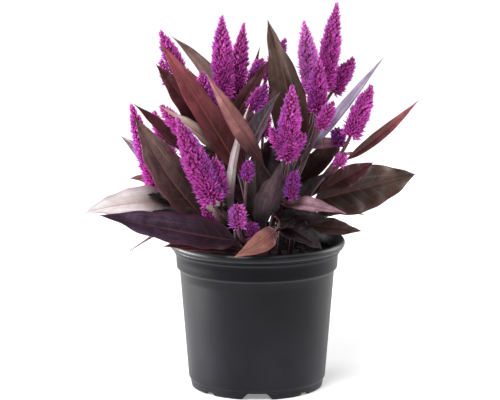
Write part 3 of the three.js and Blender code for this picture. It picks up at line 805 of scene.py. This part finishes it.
def pot_shape(segments):
    """The pot's section turned round its axis, with the notches cut into the foot ring."""
    shape = Shape()
    rings = []
    for radius, height in pot_profile():
        if radius == 0:
            rings.append([shape.point((0, 0, height))])
            continue
        notched = height < BASE_RAISE and radius > FOOT_RADIUS - FOOT_RING - NOTCH_MARGIN
        ring = []
        for angle in turns(segments):
            level = max(height, notch_height(angle, radius)) if notched else height
            ring.append(shape.point((radius * math.cos(angle), radius * math.sin(angle), level)))
        rings.append(ring)
    levels = [shape.points[ring[0]][2] / MM for ring in rings]
    crest = levels.index(max(levels))
    for number, (low, high) in enumerate(zip(rings, rings[1:])):
        level = (levels[number] + levels[number + 1]) / 2
        finish = BAND if level > BAND_FROM else BODY
        if number < crest and level > POT_HEIGHT - LIP_HEIGHT:
            finish = LIP
        shape.band(low, high, finish)
    return shape


def drill(piece):
    """Drain holes through the base plate: one in the middle and the others round it."""
    cutters = Shape()
    for index in range(OUTER_DRAIN_HOLES + 1):
        out = DRAIN_HOLE_CIRCLE if index else 0
        bearing = 2 * math.pi * index / OUTER_DRAIN_HOLES
        low, high = (
            [
                cutters.point((
                    out * math.cos(bearing) + DRAIN_HOLE_RADIUS * math.cos(angle),
                    out * math.sin(bearing) + DRAIN_HOLE_RADIUS * math.sin(angle),
                    height,
                ))
                for angle in turns(DRAIN_HOLE_SIDES)
            ]
            for height in (BASE_RAISE - CUT_MARGIN, BASE_RAISE + WALL + CUT_MARGIN)
        )
        cutters.band(low, high)
        cutters.face(tuple(reversed(low)))
        cutters.face(tuple(high))
    cutter = cutters.build("drain_cutters", [])
    cut = piece.modifiers.new("drain holes", "BOOLEAN")
    cut.operation = "DIFFERENCE"
    cut.solver = "EXACT"
    cut.object = cutter
    bpy.context.view_layer.objects.active = piece
    bpy.ops.object.modifier_apply(modifier=cut.name)
    bpy.data.objects.remove(cutter)


def pot_paint(settings, name, specular):
    """Charcoal polypropylene: faint drag marks from the mould, dust, painted shade under the step
    and painted highlight lines along the edges.
    """
    paint = Paint(name, specular=specular)
    height = paint.height()
    wall = STEP_HEIGHT * MM
    # Dust lies low on the wall and a cloudy painted shade darkens its upper half under the step;
    # painted highlight lines run along the edges.
    dust = paint.times(
        paint.span(paint.grain(26.0, 4.0), 0.35, 0.75), paint.span(height, wall, 0.0, 0.04, 0.4)
    )
    under_step_shade = paint.times(
        paint.span(paint.grain(17.0, 2.0), 0.3, 0.6, 0.35, 1.0),
        paint.span(height, 0.45 * wall, 0.95 * wall, 0.1, 0.9),
    )
    highlit = [
        (paint.times(paint.ridge(height, edge * MM, HIGHLIGHT_REACH * MM), HIGHLIGHT_SHARE), settings.highlit)
        for edge in HIGHLIT_EDGES
    ]
    layers = [(dust, settings.scuffed), (under_step_shade, dim(settings.plastic, 0.3)), *highlit]
    paint.colour(paint.coats(settings.plastic, *layers))
    streaks = paint.grain(60.0, 2.0, stretch=(1.0, 1.0, 0.12))
    paint.roughness(paint.math("MULTIPLY_ADD", streaks, 0.2, 0.31))
    fine = paint.times(paint.grain(900.0, 2.0), 0.35)
    paint.relief(paint.math("ADD", fine, streaks), 0.12, 0.35)
    return paint.material


class CELOSIA_OT_pot(bpy.types.Operator):
    """Moulds the pot with its rolled lip, bead, step, foot notches and drain holes"""

    bl_idname = "celosia.pot"
    bl_label = "Pot"

    def execute(self, context):
        settings = context.scene.celosia_pot
        paints = [pot_paint(settings, name, specular) for name, specular in POT_FINISHES]
        piece = pot_shape(settings.segments).build("pot_shell", paints)
        drill(piece)
        piece.data.set_sharp_from_angle(angle=math.radians(SHARP_EDGE))
        dress(piece, slot_of("pot"), "pot")
        return {"FINISHED"}


# ---- Soil ----
def soil_height(x, y):
    """The lumpy top of the soil, a little higher in the middle."""
    radius = math.hypot(x, y)
    place = Vector((x, y, 0))
    lumps = 1.1 * noise.noise(place * 0.16) + 0.8 * noise.noise(place * 0.42)
    crumbs = 0.45 * noise.noise(place * 1.1)
    return SOIL_LEVEL + SOIL_DOME * (1 - radius / (BAND_RADIUS - WALL)) + lumps + crumbs


def soil_shape():
    """The root ball, just clear of the pot's inside, under a lumpy top."""
    shape = Shape()
    gap = WALL + SOIL_GAP
    edge = BAND_RADIUS - gap - 0.5
    levels = [
        (FOOT_RADIUS - gap, BASE_RAISE + WALL + 0.4),
        (FOOT_RADIUS + 1.2 - gap, FOOT_FLARE + 2.4),
        (BODY_RADIUS - gap, STEP_HEIGHT + 0.4),
        (edge, STEP_HEIGHT + 3),
    ]
    rings = [[shape.point((0, 0, levels[0][1]))]]
    levels += [(edge * step / SOIL_RINGS, None) for step in range(SOIL_RINGS, 0, -1)]
    for radius, height in levels:
        ring = []
        for angle in turns(SOIL_SIDES):
            x, y = radius * math.cos(angle), radius * math.sin(angle)
            ring.append(shape.point((x, y, soil_height(x, y) if height is None else height)))
        rings.append(ring)
    rings.append([shape.point((0, 0, soil_height(0, 0)))])
    shape.bands(rings)
    return shape


def crumb_shape(settings):
    """Loose crumbs, bark chips and a few light grains of grit, sunk a little into the soil."""
    shape = Shape()
    corners = [
        Vector(corner).normalized()
        for corner in (
            (0, 0, -1), (1, 0, -0.4), (0.3, 0.95, -0.4), (-0.8, 0.6, -0.4), (-0.8, -0.6, -0.4),
            (0.3, -0.95, -0.4), (0.8, 0.6, 0.4), (-0.3, 0.95, 0.4), (-1, 0, 0.4),
            (-0.3, -0.95, 0.4), (0.8, -0.6, 0.4), (0, 0, 1),
        )
    ]
    faces = [
        (0, 2, 1), (0, 3, 2), (0, 4, 3), (0, 5, 4), (0, 1, 5),
        (1, 2, 6), (2, 3, 7), (3, 4, 8), (4, 5, 9), (5, 1, 10),
        (6, 2, 7), (7, 3, 8), (8, 4, 9), (9, 5, 10), (10, 1, 6),
        (11, 6, 7), (11, 7, 8), (11, 8, 9), (11, 9, 10), (11, 10, 6),
    ]
    reach = BAND_RADIUS - WALL - 3
    for index in range(settings.crumbs):
        radius = reach * math.sqrt(chance(index * 3 + 1))
        bearing = 2 * math.pi * chance(index * 3 + 2)
        x, y = radius * math.cos(bearing), radius * math.sin(bearing)
        roots = (form["root"] for form in STEMS)
        if any(math.hypot(x - root[0], y - root[1]) < STEM_CLEARANCE for root in roots):
            continue
        # Most crumbs are small, and the light grains of grit smaller still.
        light = chance(index * 3 + 3) > GRIT_FROM
        size = settings.crumb_size / MM * (0.3 + 0.55 * chance(index + 0.37) ** 2)
        if light:
            size *= 0.8
        lean = (chance(index + 7.1) - 0.5, chance(index + 5.3) - 0.5)
        turn = Quaternion((*lean, 0.5, 0.6)).normalized()
        middle = Vector((x, y, soil_height(x, y) + size * 0.25))
        first = len(shape.points)
        for number, corner in enumerate(corners):
            lump = size * (0.75 + 0.5 * chance(index * 12 + number))
            out = Vector((corner.x * lump * 1.25, corner.y * lump, corner.z * lump * 0.7))
            shape.point(middle + turn @ out, tint=1.0 if light else chance(index) * 0.6)
        for face in faces:
            shape.face(tuple(first + corner for corner in face))
    return shape


def soil_paint(settings):
    """Moist peat with light flecks; the grit's tint turns whole crumbs light."""
    paint = Paint("peat", 0.95)
    lumps = paint.grain(420.0, 6.0, 0.7)
    flecks = paint.span(paint.grain(1500.0, 2.0, 0.6), 0.66, 0.72)
    paint.colour(paint.coats(
        dim(settings.peat, 0.35),
        (paint.span(lumps, 0.3, 0.75), settings.peat),
        (paint.times(flecks, 0.35), settings.grit),
        (paint.span(paint.tint(), 0.8, 0.9), settings.grit),
    ))
    paint.relief(lumps, 1.2, 0.8)
    return paint.material


class CELOSIA_OT_soil(bpy.types.Operator):
    """Fills the pot with lumpy peat and strews crumbs and grit on it"""

    bl_idname = "celosia.soil"
    bl_label = "Soil"

    def execute(self, context):
        settings = context.scene.celosia_soil
        paint = soil_paint(settings)
        dress(soil_shape().build("soil_ball", [paint]), slot_of("soil"), "soil")
        crumbs = crumb_shape(settings).build("soil_crumbs", [paint], smooth_faces=False)
        dress(crumbs, slot_of("soil"), "soil")
        return {"FINISHED"}


# ---- Stems ----
def stem_path(form):
    """The curve of a stem, straight up out of the soil and then along its plume's axis."""
    foot = Vector((*form["root"], SOIL_LEVEL + SOIL_DOME))
    top = Vector(form["neck"])
    axis = (Vector(form["head"]["tip"]) - top).normalized()
    length = (top - foot).length
    return foot, foot + UP * STEM_RISE * length, top - axis * STEM_RUN * length, top


def branch_path(trunk, side):
    """The curve of a side branch, which leaves its stem at a slant."""
    foot, heading = cubic(trunk, side["at"])
    top = Vector(side["neck"])
    axis = (Vector(side["head"]["tip"]) - top).normalized()
    length = (top - foot).length
    leave = ((heading + (top - foot).normalized()) / 2).normalized()
    return foot, foot + leave * STEM_RUN * length, top - axis * STEM_RUN * length, top


def add_tube(shape, path, foot_radius, neck_radius, depth, settings, joints=()):
    """A ribbed stem that swells a little where leaves and side branches leave it."""
    sides, steps = settings.sides, settings.steps
    foot, heading = cubic(path, 0)
    levels = [(foot - heading * depth, heading, foot_radius, 0.0)] if depth else []
    for step in range(steps + 1):
        share = step / steps
        place, heading = cubic(path, share)
        radius = mix(foot_radius, neck_radius, share)
        for joint in joints:
            radius += JOINT_SWELL * math.exp(-(((share - joint) / JOINT_LENGTH) ** 2))
        levels.append((place, heading, radius, share))
    rings = []
    across, _ = cross_axes(levels[0][1])
    for place, heading, radius, share in levels:
        across = (across - heading * across.dot(heading)).normalized()
        over = heading.cross(across)
        ring = []
        for side, angle in enumerate(turns(sides)):
            rib = radius * (1 + RIB_DEPTH * (side % 2))
            out = swing(across, over, angle, rib)
            ring.append(shape.point(place + out, (side / sides, share), share))
        rings.append(ring)
    start = shape.point(levels[0][0], (0.5, 0), 0)
    top, heading = cubic(path, 1)
    end = shape.point(top + heading * NECK_POINT, (0.5, 1), 1)
    shape.bands([[start], *rings, [end]])


def stem_paint(settings):
    """Stem skin, redder towards the plumes, with fine dark streaks along it."""
    paint = Paint("stem_skin", 0.42)
    streaks = paint.grain(900.0, 3.0, stretch=(1.0, 1.0, 0.08))
    paint.colour(paint.coats(
        settings.bark,
        (paint.span(paint.tint(), 0.1, 1.0), settings.young),
        (paint.span(streaks, 0.5, 0.75), dim(settings.bark, 0.4)),
    ))
    paint.relief(streaks, 0.15, 0.5)
    return paint.material


class CELOSIA_OT_stems(bpy.types.Operator):
    """Grows the stems and side branches out of the soil"""

    bl_idname = "celosia.stems"
    bl_label = "Stems"

    def execute(self, context):
        settings = context.scene.celosia_stems
        paint = stem_paint(settings)
        for number, form in enumerate(STEMS, 1):
            shape = Shape()
            trunk = stem_path(form)
            joints = [part["at"] for part in (*form["leaves"], *form["branches"])]
            depth = ROOT_DEPTH + SOIL_DOME
            add_tube(shape, trunk, STEM_FOOT_RADIUS, STEM_NECK_RADIUS, depth, settings, joints)
            for side in form["branches"]:
                path = branch_path(trunk, side)
                add_tube(shape, path, BRANCH_RADIUS, BRANCH_RADIUS, 0, settings)
            node = f"leafy_stem_{number:02d}"
            dress(shape.build(f"stem_{number:02d}", [paint]), slot_of(node), node)
        return {"FINISHED"}


# ---- Leaves ----
def blade_width(share):
    """A blade's width along it: broadest before the middle and drawn out to a fine tip."""
    return share**0.7 * (1 - share) ** 1.1 / 0.3


def leaf_frame(foot, form):
    """The curve of a leaf's midrib, and the direction across its blade."""
    end = Vector(form["tip"])
    chord = end - foot
    away = Vector((chord.x, chord.y, 0)).normalized()
    level = UP.cross(away)
    direction = chord.normalized()
    lift = direction.cross(level)
    turn = Quaternion(direction, math.radians(-form["roll"]))
    face, across = turn @ lift, turn @ level
    bend = foot + chord * LEAF_BELLY + face * 2 * form["arch"] + lift * 2 * form["rise"]
    return (foot, bend, end), across


def vein_line(share, side, veins):
    """1 on a side vein and 0 half way to the next; the veins sweep towards the tip."""
    phase = share * veins - VEIN_SWEEP * abs(side) ** VEIN_CURVE
    return abs(2 * (phase - math.floor(phase)) - 1)


def furrow(distance, reach):
    """1 on the midrib, fading with the distance from it in millimetres."""
    return math.exp(-((distance / reach) ** 2))


def add_leaf(shape, foot, form, index, seed, settings, first_material):
    """A blade with an upper and a lower skin, folded along its midrib and waved at its edges."""
    midrib, across = leaf_frame(foot, form)
    width, petiole = form["width"], form["petiole"]
    columns, stations = settings.columns, settings.stations
    thickness = settings.thickness / MM
    size = min(width / FULL_LEAF_WIDTH, 1.4)
    quilting = settings.quilting / MM * size
    tint = chance(seed * 17.3)
    sides = [column / columns for column in range(-columns, columns + 1)]
    upper, lower = [], []
    for station in range(stations + 1):
        along = station / stations
        share = max(along - petiole, 0.0) / (1 - petiole)
        place, heading = quadratic(midrib, along)
        side = (across - heading * across.dot(heading)).normalized()
        normal = heading.cross(side)
        stalk = PETIOLE_WIDTH / 2 * (1 - smooth(0.6, 1.0, share))
        half = max(width / 2 * blade_width(share), stalk, TIP_WIDTH / 2)
        open_out = smooth(0.0, 0.12, share)
        ends = smooth(0.0, 0.1, share) * smooth(1.0, 0.85, share)
        phase = 2 * math.pi * (LEAF_WAVES * share + chance(index))
        # Each edge has a slow wave and a quick ripple of its own.
        wave, ripple = WAVE_SHARE * width, RIPPLE_SHARE * width * math.sin(phase * 3.1 + tint * 9)
        left = wave * math.sin(phase + 2) - 0.8 * ripple
        right = wave * math.sin(phase) + ripple
        row_up, row_down = [], []
        for offset in sides:
            reach = abs(offset)
            from_rib = reach * half
            edge = right if offset > 0 else left
            height = from_rib * math.sin(LEAF_FOLD) + ends * edge * reach**1.6
            height += BLADE_CROWN * half * math.sin(math.pi * reach) * open_out
            swell = quilting * (vein_line(share, offset, settings.veins) - 0.5)
            height -= swell * math.sin(math.pi * min(reach * 1.15, 1.0)) * ends
            groove = MIDRIB_GROOVE * size * furrow(from_rib, 0.7) * open_out
            rib = MIDRIB_KEEL * size * furrow(from_rib, 0.8) * (1 - 0.7 * share)
            skin = thickness * mix(1.0, EDGE_THINNING, reach**2) / 2
            middle = place + side * (offset * half * math.cos(LEAF_FOLD)) + normal * height
            where = (0.5 + offset / 2, share)
            row_up.append(shape.point(middle + normal * (skin - groove), where, tint))
            row_down.append(shape.point(middle - normal * (skin + rib), where, tint))
        upper.append(row_up)
        lower.append(row_down)
    # The two skins, and then the rim that joins them, all the way round the blade.
    top, bottom = first_material, first_material + 1
    for near, far in zip(upper, upper[1:]):
        shape.strip(near, far, top)
    for near, far in zip(lower, lower[1:]):
        shape.strip(near, far, bottom, turned=True)
    rim = (
        ([row[0] for row in upper], [row[0] for row in lower]),
        (upper[-1], lower[-1]),
        ([row[-1] for row in reversed(upper)], [row[-1] for row in reversed(lower)]),
        (upper[0][::-1], lower[0][::-1]),
    )
    for above, below in rim:
        shape.strip(above, below, bottom)


def leaf_paint(tone, skin, settings):
    """Veined leaf skin: a warm midrib, side veins, mottling and a darker or redder margin."""
    top, below, vein = (screen(*colour) for colour in LEAF_TONES[tone])
    ground = below if skin == "under" else top
    veining, roughness, depth = LEAF_SKINS[skin]
    paint = Paint(f"leaf_{tone}_{skin}", specular=LEAF_SPECULAR)
    across, along = paint.place()
    reach = paint.math("ABSOLUTE", paint.math("MULTIPLY_ADD", across, 2.0, -1.0))
    rank = paint.times(along, float(settings.veins))
    swept = paint.math("MULTIPLY_ADD", paint.math("POWER", reach, VEIN_CURVE), -VEIN_SWEEP, rank)
    saw = paint.math("MULTIPLY_ADD", paint.math("FRACT", swept), 2.0, -1.0)
    line = paint.span(paint.math("ABSOLUTE", saw), 0.8, 1.0)
    side_vein = paint.times(line, paint.span(reach, 1.0, 0.35))
    mottle = paint.grain(520.0, 4.0, 0.65)
    streaks = paint.grain(1.0, 3.0, 0.6, vector=paint.stack(across, along, 22.0, 2.4))
    shade = dim(ground, mix(0.56, 0.86, sum(ground) / 3))
    flush_and_shade_reach = FLUSH_AND_SHADE_REACH_OF.get(tone, FLUSH_AND_SHADE_REACH)
    rim = tuple(part * share for part, share in zip(vein, RIM_SHARES))
    paint.colour(paint.coats(
        shade,
        # Light clouds and fine dark mottling, and some leaves darker than the others
        (paint.span(paint.grain(70.0, 5.0, 0.6), 0.38, 0.62), brighten(ground, 1.45, 0.015)),
        (paint.times(paint.span(mottle, 0.4, 0.7), 0.35), shade),
        (paint.span(paint.tint(), 0.0, 1.0, 0.0, 0.3), shade),
        # Pale streaks along the blade, partly its own streaky tone and partly a painted sheen, dark
        # streaks, and painted shade in the fold beside the midrib
        (paint.span(streaks, 0.52, 0.72, 0.0, 0.65), brighten(ground, 1.8, 0.04)),
        (paint.span(streaks, 0.47, 0.3, 0.0, 0.7), shade),
        (paint.times(paint.ridge(reach, 0.15, 0.14), 0.4), shade),
        # The dark foot, partly a flush and partly painted shade, then the rim, the side veins and
        # the midrib
        (paint.span(along, flush_and_shade_reach, 0.3 * flush_and_shade_reach, 0.0, 0.88), dim(vein, 0.13)),
        (paint.span(reach, 0.6, 1.0, 0.0, 0.45), rim),
        (paint.times(side_vein, veining * 0.5), vein),
        (paint.times(paint.span(reach, 0.09, 0.0), veining + 0.2), vein),
    ))
    paint.roughness(paint.math("MULTIPLY_ADD", mottle, 0.3, roughness))
    paint.relief(paint.math("ADD", paint.times(mottle, 0.4), side_vein), depth, 0.4)
    return paint.material


class CELOSIA_OT_leaves(bpy.types.Operator):
    """Unfolds the veined, waved leaves from their stems"""

    bl_idname = "celosia.leaves"
    bl_label = "Leaves"

    def execute(self, context):
        settings = context.scene.celosia_leaves
        paints = {
            tone: [leaf_paint(tone, skin, settings) for skin in LEAF_SKINS] for tone in LEAF_TONES
        }
        for number, form in enumerate(STEMS, 1):
            shape = Shape()
            trunk = stem_path(form)
            materials = []
            for index, blade in enumerate(form["leaves"], 1):
                foot, _ = cubic(trunk, blade["at"])
                add_leaf(shape, foot, blade, index, number * 9 + index, settings, len(materials))
                materials += paints[blade["tone"]]
            node = f"leafy_stem_{number:02d}"
            dress(shape.build(f"leaves_{number:02d}", materials), slot_of(node), node)
        return {"FINISHED"}


# ---- Plumes ----
def plume_girth(along):
    """A spike's girth along it, as a share: full below the middle and round at the top."""
    from_tip = 1 - along
    if from_tip < SPIKE_ROUNDING:
        return math.sin(math.pi / 2 * from_tip / SPIKE_ROUNDING) ** 0.9
    return 1 - 0.3 * ((from_tip - SPIKE_ROUNDING) / (1 - SPIKE_ROUNDING)) ** 2


def add_core(shape, foot, tip, radius, tint):
    """The spike's axis under the florets, closed round the stem's end."""
    axis = (tip - foot).normalized()
    across, over = cross_axes(axis)
    length = (tip - foot).length
    rings = []
    for band in range(CORE_BANDS):
        along = mix(0.03, 0.97, band / (CORE_BANDS - 1))
        girth = max(radius * plume_girth(along), 0.4)
        middle = foot + axis * (along * length)
        rings.append([
            shape.point(middle + swing(across, over, angle, girth), (0.5, 0.0), tint)
            for angle in turns(CORE_SIDES)
        ])
    hollow = shape.point(foot + axis * NECK_HOLLOW * 0.5, (0.5, 0.0), tint)
    end = shape.point(tip - axis * 0.5, (0.5, 0.0), tint)
    shape.bands([[hollow], *rings, [end]])


def add_tepal(shape, foot, heading, spread, form, where, tint):
    """One slim pointed tepal: a flat spindle that bellies out and then turns in or out."""
    length, bulge, reach, width = form
    side = heading.cross(spread).normalized()
    belly = foot + heading * (TEPAL_BELLY * length) + spread * bulge
    end = foot + heading * length + spread * reach
    start = shape.point(foot, (where, 0.0), tint)
    corners = [
        shape.point(belly + side * width / 2, (where, 0.42), tint),
        shape.point(belly + spread * width * 0.3, (where, 0.5), tint),
        shape.point(belly - side * width / 2, (where, 0.42), tint),
        shape.point(belly - spread * width * 0.1, (where, 0.3), tint),
    ]
    point = shape.point(end, (where, 1.0), tint)
    for first, second in zip(corners, (*corners[1:], corners[0])):
        shape.face((start, second, first))
        shape.face((first, second, point))


def add_spike(shape, foot, tip, radius, seed, settings):
    """Florets set round a spike in a spiral: closed buds at the top, open stars lower down."""
    axis = (tip - foot).normalized()
    across, over = cross_axes(axis)
    length = (tip - foot).length
    # Slim spikes have smaller florets, set closer together on a core that leaves them room.
    size = settings.tepal / MM * min(1.0, 0.5 + radius / 13)
    spacing = settings.spacing / MM * min(1.0, 0.6 + radius / 16)
    core = max(radius - size * 0.58, radius * 0.42)
    add_core(shape, foot, tip, core, chance(seed))
    violet_side = 2 * math.pi * chance(seed * 5.1)
    along, number = 0.01 * length, 0
    while along < length - size * 0.7:
        share = along / length
        closing = smooth(0.45, 1.0, share)
        girth = max(core * plume_girth(share) * mix(1.0, 0.75, closing), 0.35)
        bearing = number * GOLDEN_ANGLE + 0.35 * (chance(seed + number) - 0.5)
        out = swing(across, over, bearing)
        # Florets stand out at the foot and close in on the axis towards the tip.
        lean = mix(0.15, 0.95, smooth(0.0, 0.25, share)) + 3.2 * smooth(0.74, 1.0, share) ** 1.5
        lean += 0.3 * (chance(seed + number * 3) - 0.5)
        heading = (out + axis * lean).normalized()
        place = foot + axis * along + out * (girth - FLORET_SINK)
        # One side of a spike is cooler than the other.
        tint = 0.45 + 0.4 * math.cos(bearing - violet_side)
        tint = min(max(tint + 0.6 * (chance(number * 7 + seed) - 0.5), 0.0), 1.0)
        open_out = mix(1.0, 0.12, smooth(0.05, 0.6, share + 0.2 * (chance(number * 2.3) - 0.5)))
        shade = chance(number * 13 + seed)
        full = size * mix(0.85, 1.25, chance(number * 11.3 + seed)) * mix(1.0, 0.64, closing)
        left, up = cross_axes(heading)
        spin = 2 * math.pi * chance(seed * 3 + number)
        for tepal, angle in enumerate(turns(TEPALS)):
            spread = swing(left, up, spin + angle)
            long = full * mix(0.8, 1.12, chance(number * 5 + tepal + seed))
            bulge = long * mix(0.16, 0.24, open_out)
            reach = long * mix(0.06, 0.62, open_out) * mix(0.7, 1.2, chance(number + tepal * 1.9))
            form = (long, bulge, reach, long * TEPAL_WIDTH)
            add_tepal(shape, place, heading, spread, form, shade, tint)
        # The spiral climbs by the room that one floret takes up.
        along += 0.9 * (spacing * mix(1.0, 0.78, closing)) ** 2 / (2 * math.pi * max(girth, 1.2))
        number += 1
    crown = foot + axis * (length - size * 1.5)
    for angle in turns(CROWN_TEPALS):
        spread = swing(across, over, angle)
        add_tepal(shape, crown, axis, spread, (size * 1.5, 0.45, 0.04, 0.9), 0.0, 0.3)


def floret_paint(finish, settings):
    """Papery tepals: painted shade at the foot, where the florets crowd together, bright along the
    blade and pale at the point.
    """
    low, high, wash, points, hollow = FLORET_FINISHES[finish]
    paint = Paint(f"florets_{finish}", 0.6, FLORET_SPECULAR)
    shade, along = paint.place()
    cool = paint.math("ADD", paint.tint(), paint.times(paint.grain(60.0, 3.0), 0.5))
    bright = paint.coats(
        settings.magenta,
        (paint.span(cool, low, high), settings.violet),
        (wash, settings.pink),
        (paint.times(shade, hollow), dim(settings.magenta, 0.4)),
    )
    # Painted shade at each tepal's foot, then the blade's colour and the pale points
    paint.colour(paint.coats(
        settings.deep,
        (paint.span(along, 0.06, 0.64), bright),
        (paint.times(paint.span(along, 0.55, 1.0), points), settings.pink),
    ))
    paint.relief(paint.grain(2600.0, 2.0), 0.1, 0.4)
    return paint.material


def heads():
    """Every plume with the point where its stem meets it, in the order of the nodes."""
    for form in STEMS:
        yield form["neck"], form["head"]
        for side in form["branches"]:
            yield side["neck"], side["head"]


class CELOSIA_OT_plumes(bpy.types.Operator):
    """Covers each flower spike with pointed florets"""

    bl_idname = "celosia.plumes"
    bl_label = "Plumes"

    def execute(self, context):
        settings = context.scene.celosia_florets
        paints = {finish: floret_paint(finish, settings) for finish in FLORET_FINISHES}
        for number, (neck, head) in enumerate(heads(), 1):
            shape = Shape()
            seed = number * 1.7
            foot, tip = Vector(neck), Vector(head["tip"])
            add_spike(shape, foot, tip, head["radius"], seed, settings)
            axis = (tip - foot).normalized()
            for bearing, length, radius in head["lobes"]:
                angle = math.radians(bearing)
                out = Vector((math.cos(angle), math.sin(angle), 0))
                start = foot + axis * NECK_HOLLOW + out * SIDE_SPIKE_OUT
                end = start + out * SIDE_SPIKE_SPREAD * length + axis * SIDE_SPIKE_RISE * length
                add_spike(shape, start, end, radius, seed + bearing, settings)
            node = f"plume_{number:02d}"
            piece = shape.build(f"florets_{number:02d}", [paints[head["finish"]]], False)
            dress(piece, slot_of(node), node)
        return {"FINISHED"}


# ---- Stage ----
def add_light(name, place, target, size, power):
    """A soft box, or a broad far light where no size is given."""
    light = bpy.data.lights.new(name, "AREA" if size else "SUN")
    if size:
        light.shape = "RECTANGLE"
        light.size, light.size_y = size
    else:
        light.angle = math.radians(SUN_SPREAD)
    light.energy = power
    lamp = bpy.data.objects.new(name, light)
    lamp.location = place
    lamp.rotation_mode = "QUATERNION"
    lamp.rotation_quaternion = (Vector(target) - Vector(place)).to_track_quat("-Z", "Y")
    lamp.visible_camera = False
    bpy.context.scene.collection.objects.link(lamp)


def add_floor(settings):
    """A wide pale floor that gives off a little light of its own."""
    paint = Paint("floor", 0.9, 0.1)
    paint.colour(paint.blend(paint.grain(3.0, 2.0), dim(settings.floor, 0.97), settings.floor))
    paint.shader.inputs["Emission Color"].default_value = WHITE
    paint.shader.inputs["Emission Strength"].default_value = settings.glow
    shape = Shape()
    corners = ((-1, -1), (1, -1), (1, 1), (-1, 1))
    shape.face(tuple(shape.point((x * FLOOR_REACH, y * FLOOR_REACH, 0)) for x, y in corners))
    floor = shape.build("floor", [paint.material])


def add_camera(settings):
    """The camera, level from side to side and looking a little down."""
    lens = bpy.data.cameras.new("camera")
    lens.sensor_width = SENSOR_WIDTH
    lens.lens = settings.lens
    lens.clip_start, lens.clip_end = 0.05, 50
    camera = bpy.data.objects.new("camera", lens)
    camera.location = settings.camera
    camera.rotation_euler = (math.pi / 2 - settings.pitch, 0, 0)
    bpy.context.scene.collection.objects.link(camera)
    bpy.context.scene.camera = camera


class CELOSIA_OT_stage(bpy.types.Operator):
    """Sets up the pale floor, the soft lights and the camera"""

    bl_idname = "celosia.stage"
    bl_label = "Stage"

    def execute(self, context):
        settings = context.scene.celosia_stage
        add_floor(settings)
        world = bpy.data.worlds.new("studio")
        context.scene.world = world
        world.use_nodes = True
        sky = world.node_tree.nodes["Background"]
        sky.inputs["Color"].default_value = WHITE
        sky.inputs["Strength"].default_value = settings.sky
        add_light("key", (-0.42, -0.8, 1.2), (0, 0, 0.15), None, settings.key)
        add_light("side", (-0.8, 0.08, 0.1), (0, 0, 0.05), (0.62, 0.2), 14)
        add_light("fill", (0.9, 0.45, 0.4), (0, 0, 0.1), (0.5, 0.7), 10)
        add_camera(settings)
        context.scene.view_settings.view_transform = "Standard"
        return {"FINISHED"}


# ---- Panel and registration ----
OPERATORS = (
    CELOSIA_OT_pot,
    CELOSIA_OT_soil,
    CELOSIA_OT_stems,
    CELOSIA_OT_leaves,
    CELOSIA_OT_plumes,
    CELOSIA_OT_stage,
)
SETTINGS = {
    "celosia_pot": PotSettings,
    "celosia_soil": SoilSettings,
    "celosia_stems": StemSettings,
    "celosia_leaves": LeafSettings,
    "celosia_florets": FloretSettings,
    "celosia_stage": StageSettings,
}


class CELOSIA_PT_panel(bpy.types.Panel):
    """Lists the pieces of the plant and their settings"""

    bl_idname = "CELOSIA_PT_panel"
    bl_label = "Potted celosia"
    bl_space_type = "VIEW_3D"
    bl_region_type = "UI"
    bl_category = "Celosia"

    def draw(self, context):
        for operator, group in zip(OPERATORS, SETTINGS):
            box = self.layout.box()
            box.operator(operator.bl_idname)
            settings = getattr(context.scene, group)
            for name in settings.bl_rna.properties.keys():
                if name not in ("rna_type", "name"):
                    box.prop(settings, name)


def register():
    for group in SETTINGS.values():
        bpy.utils.register_class(group)
    for name, group in SETTINGS.items():
        setattr(bpy.types.Scene, name, PointerProperty(type=group))
    for operator in OPERATORS:
        bpy.utils.register_class(operator)
    bpy.utils.register_class(CELOSIA_PT_panel)


def unregister():
    bpy.utils.unregister_class(CELOSIA_PT_panel)
    for operator in reversed(OPERATORS):
        bpy.utils.unregister_class(operator)
    for name, group in SETTINGS.items():
        delattr(bpy.types.Scene, name)
        bpy.utils.unregister_class(group)


def main():
    register()
    bpy.ops.celosia.stage()
    bpy.ops.celosia.pot()
    bpy.ops.celosia.soil()
    bpy.ops.celosia.stems()
    bpy.ops.celosia.leaves()
    bpy.ops.celosia.plumes()


if __name__ == "__main__":
    main()
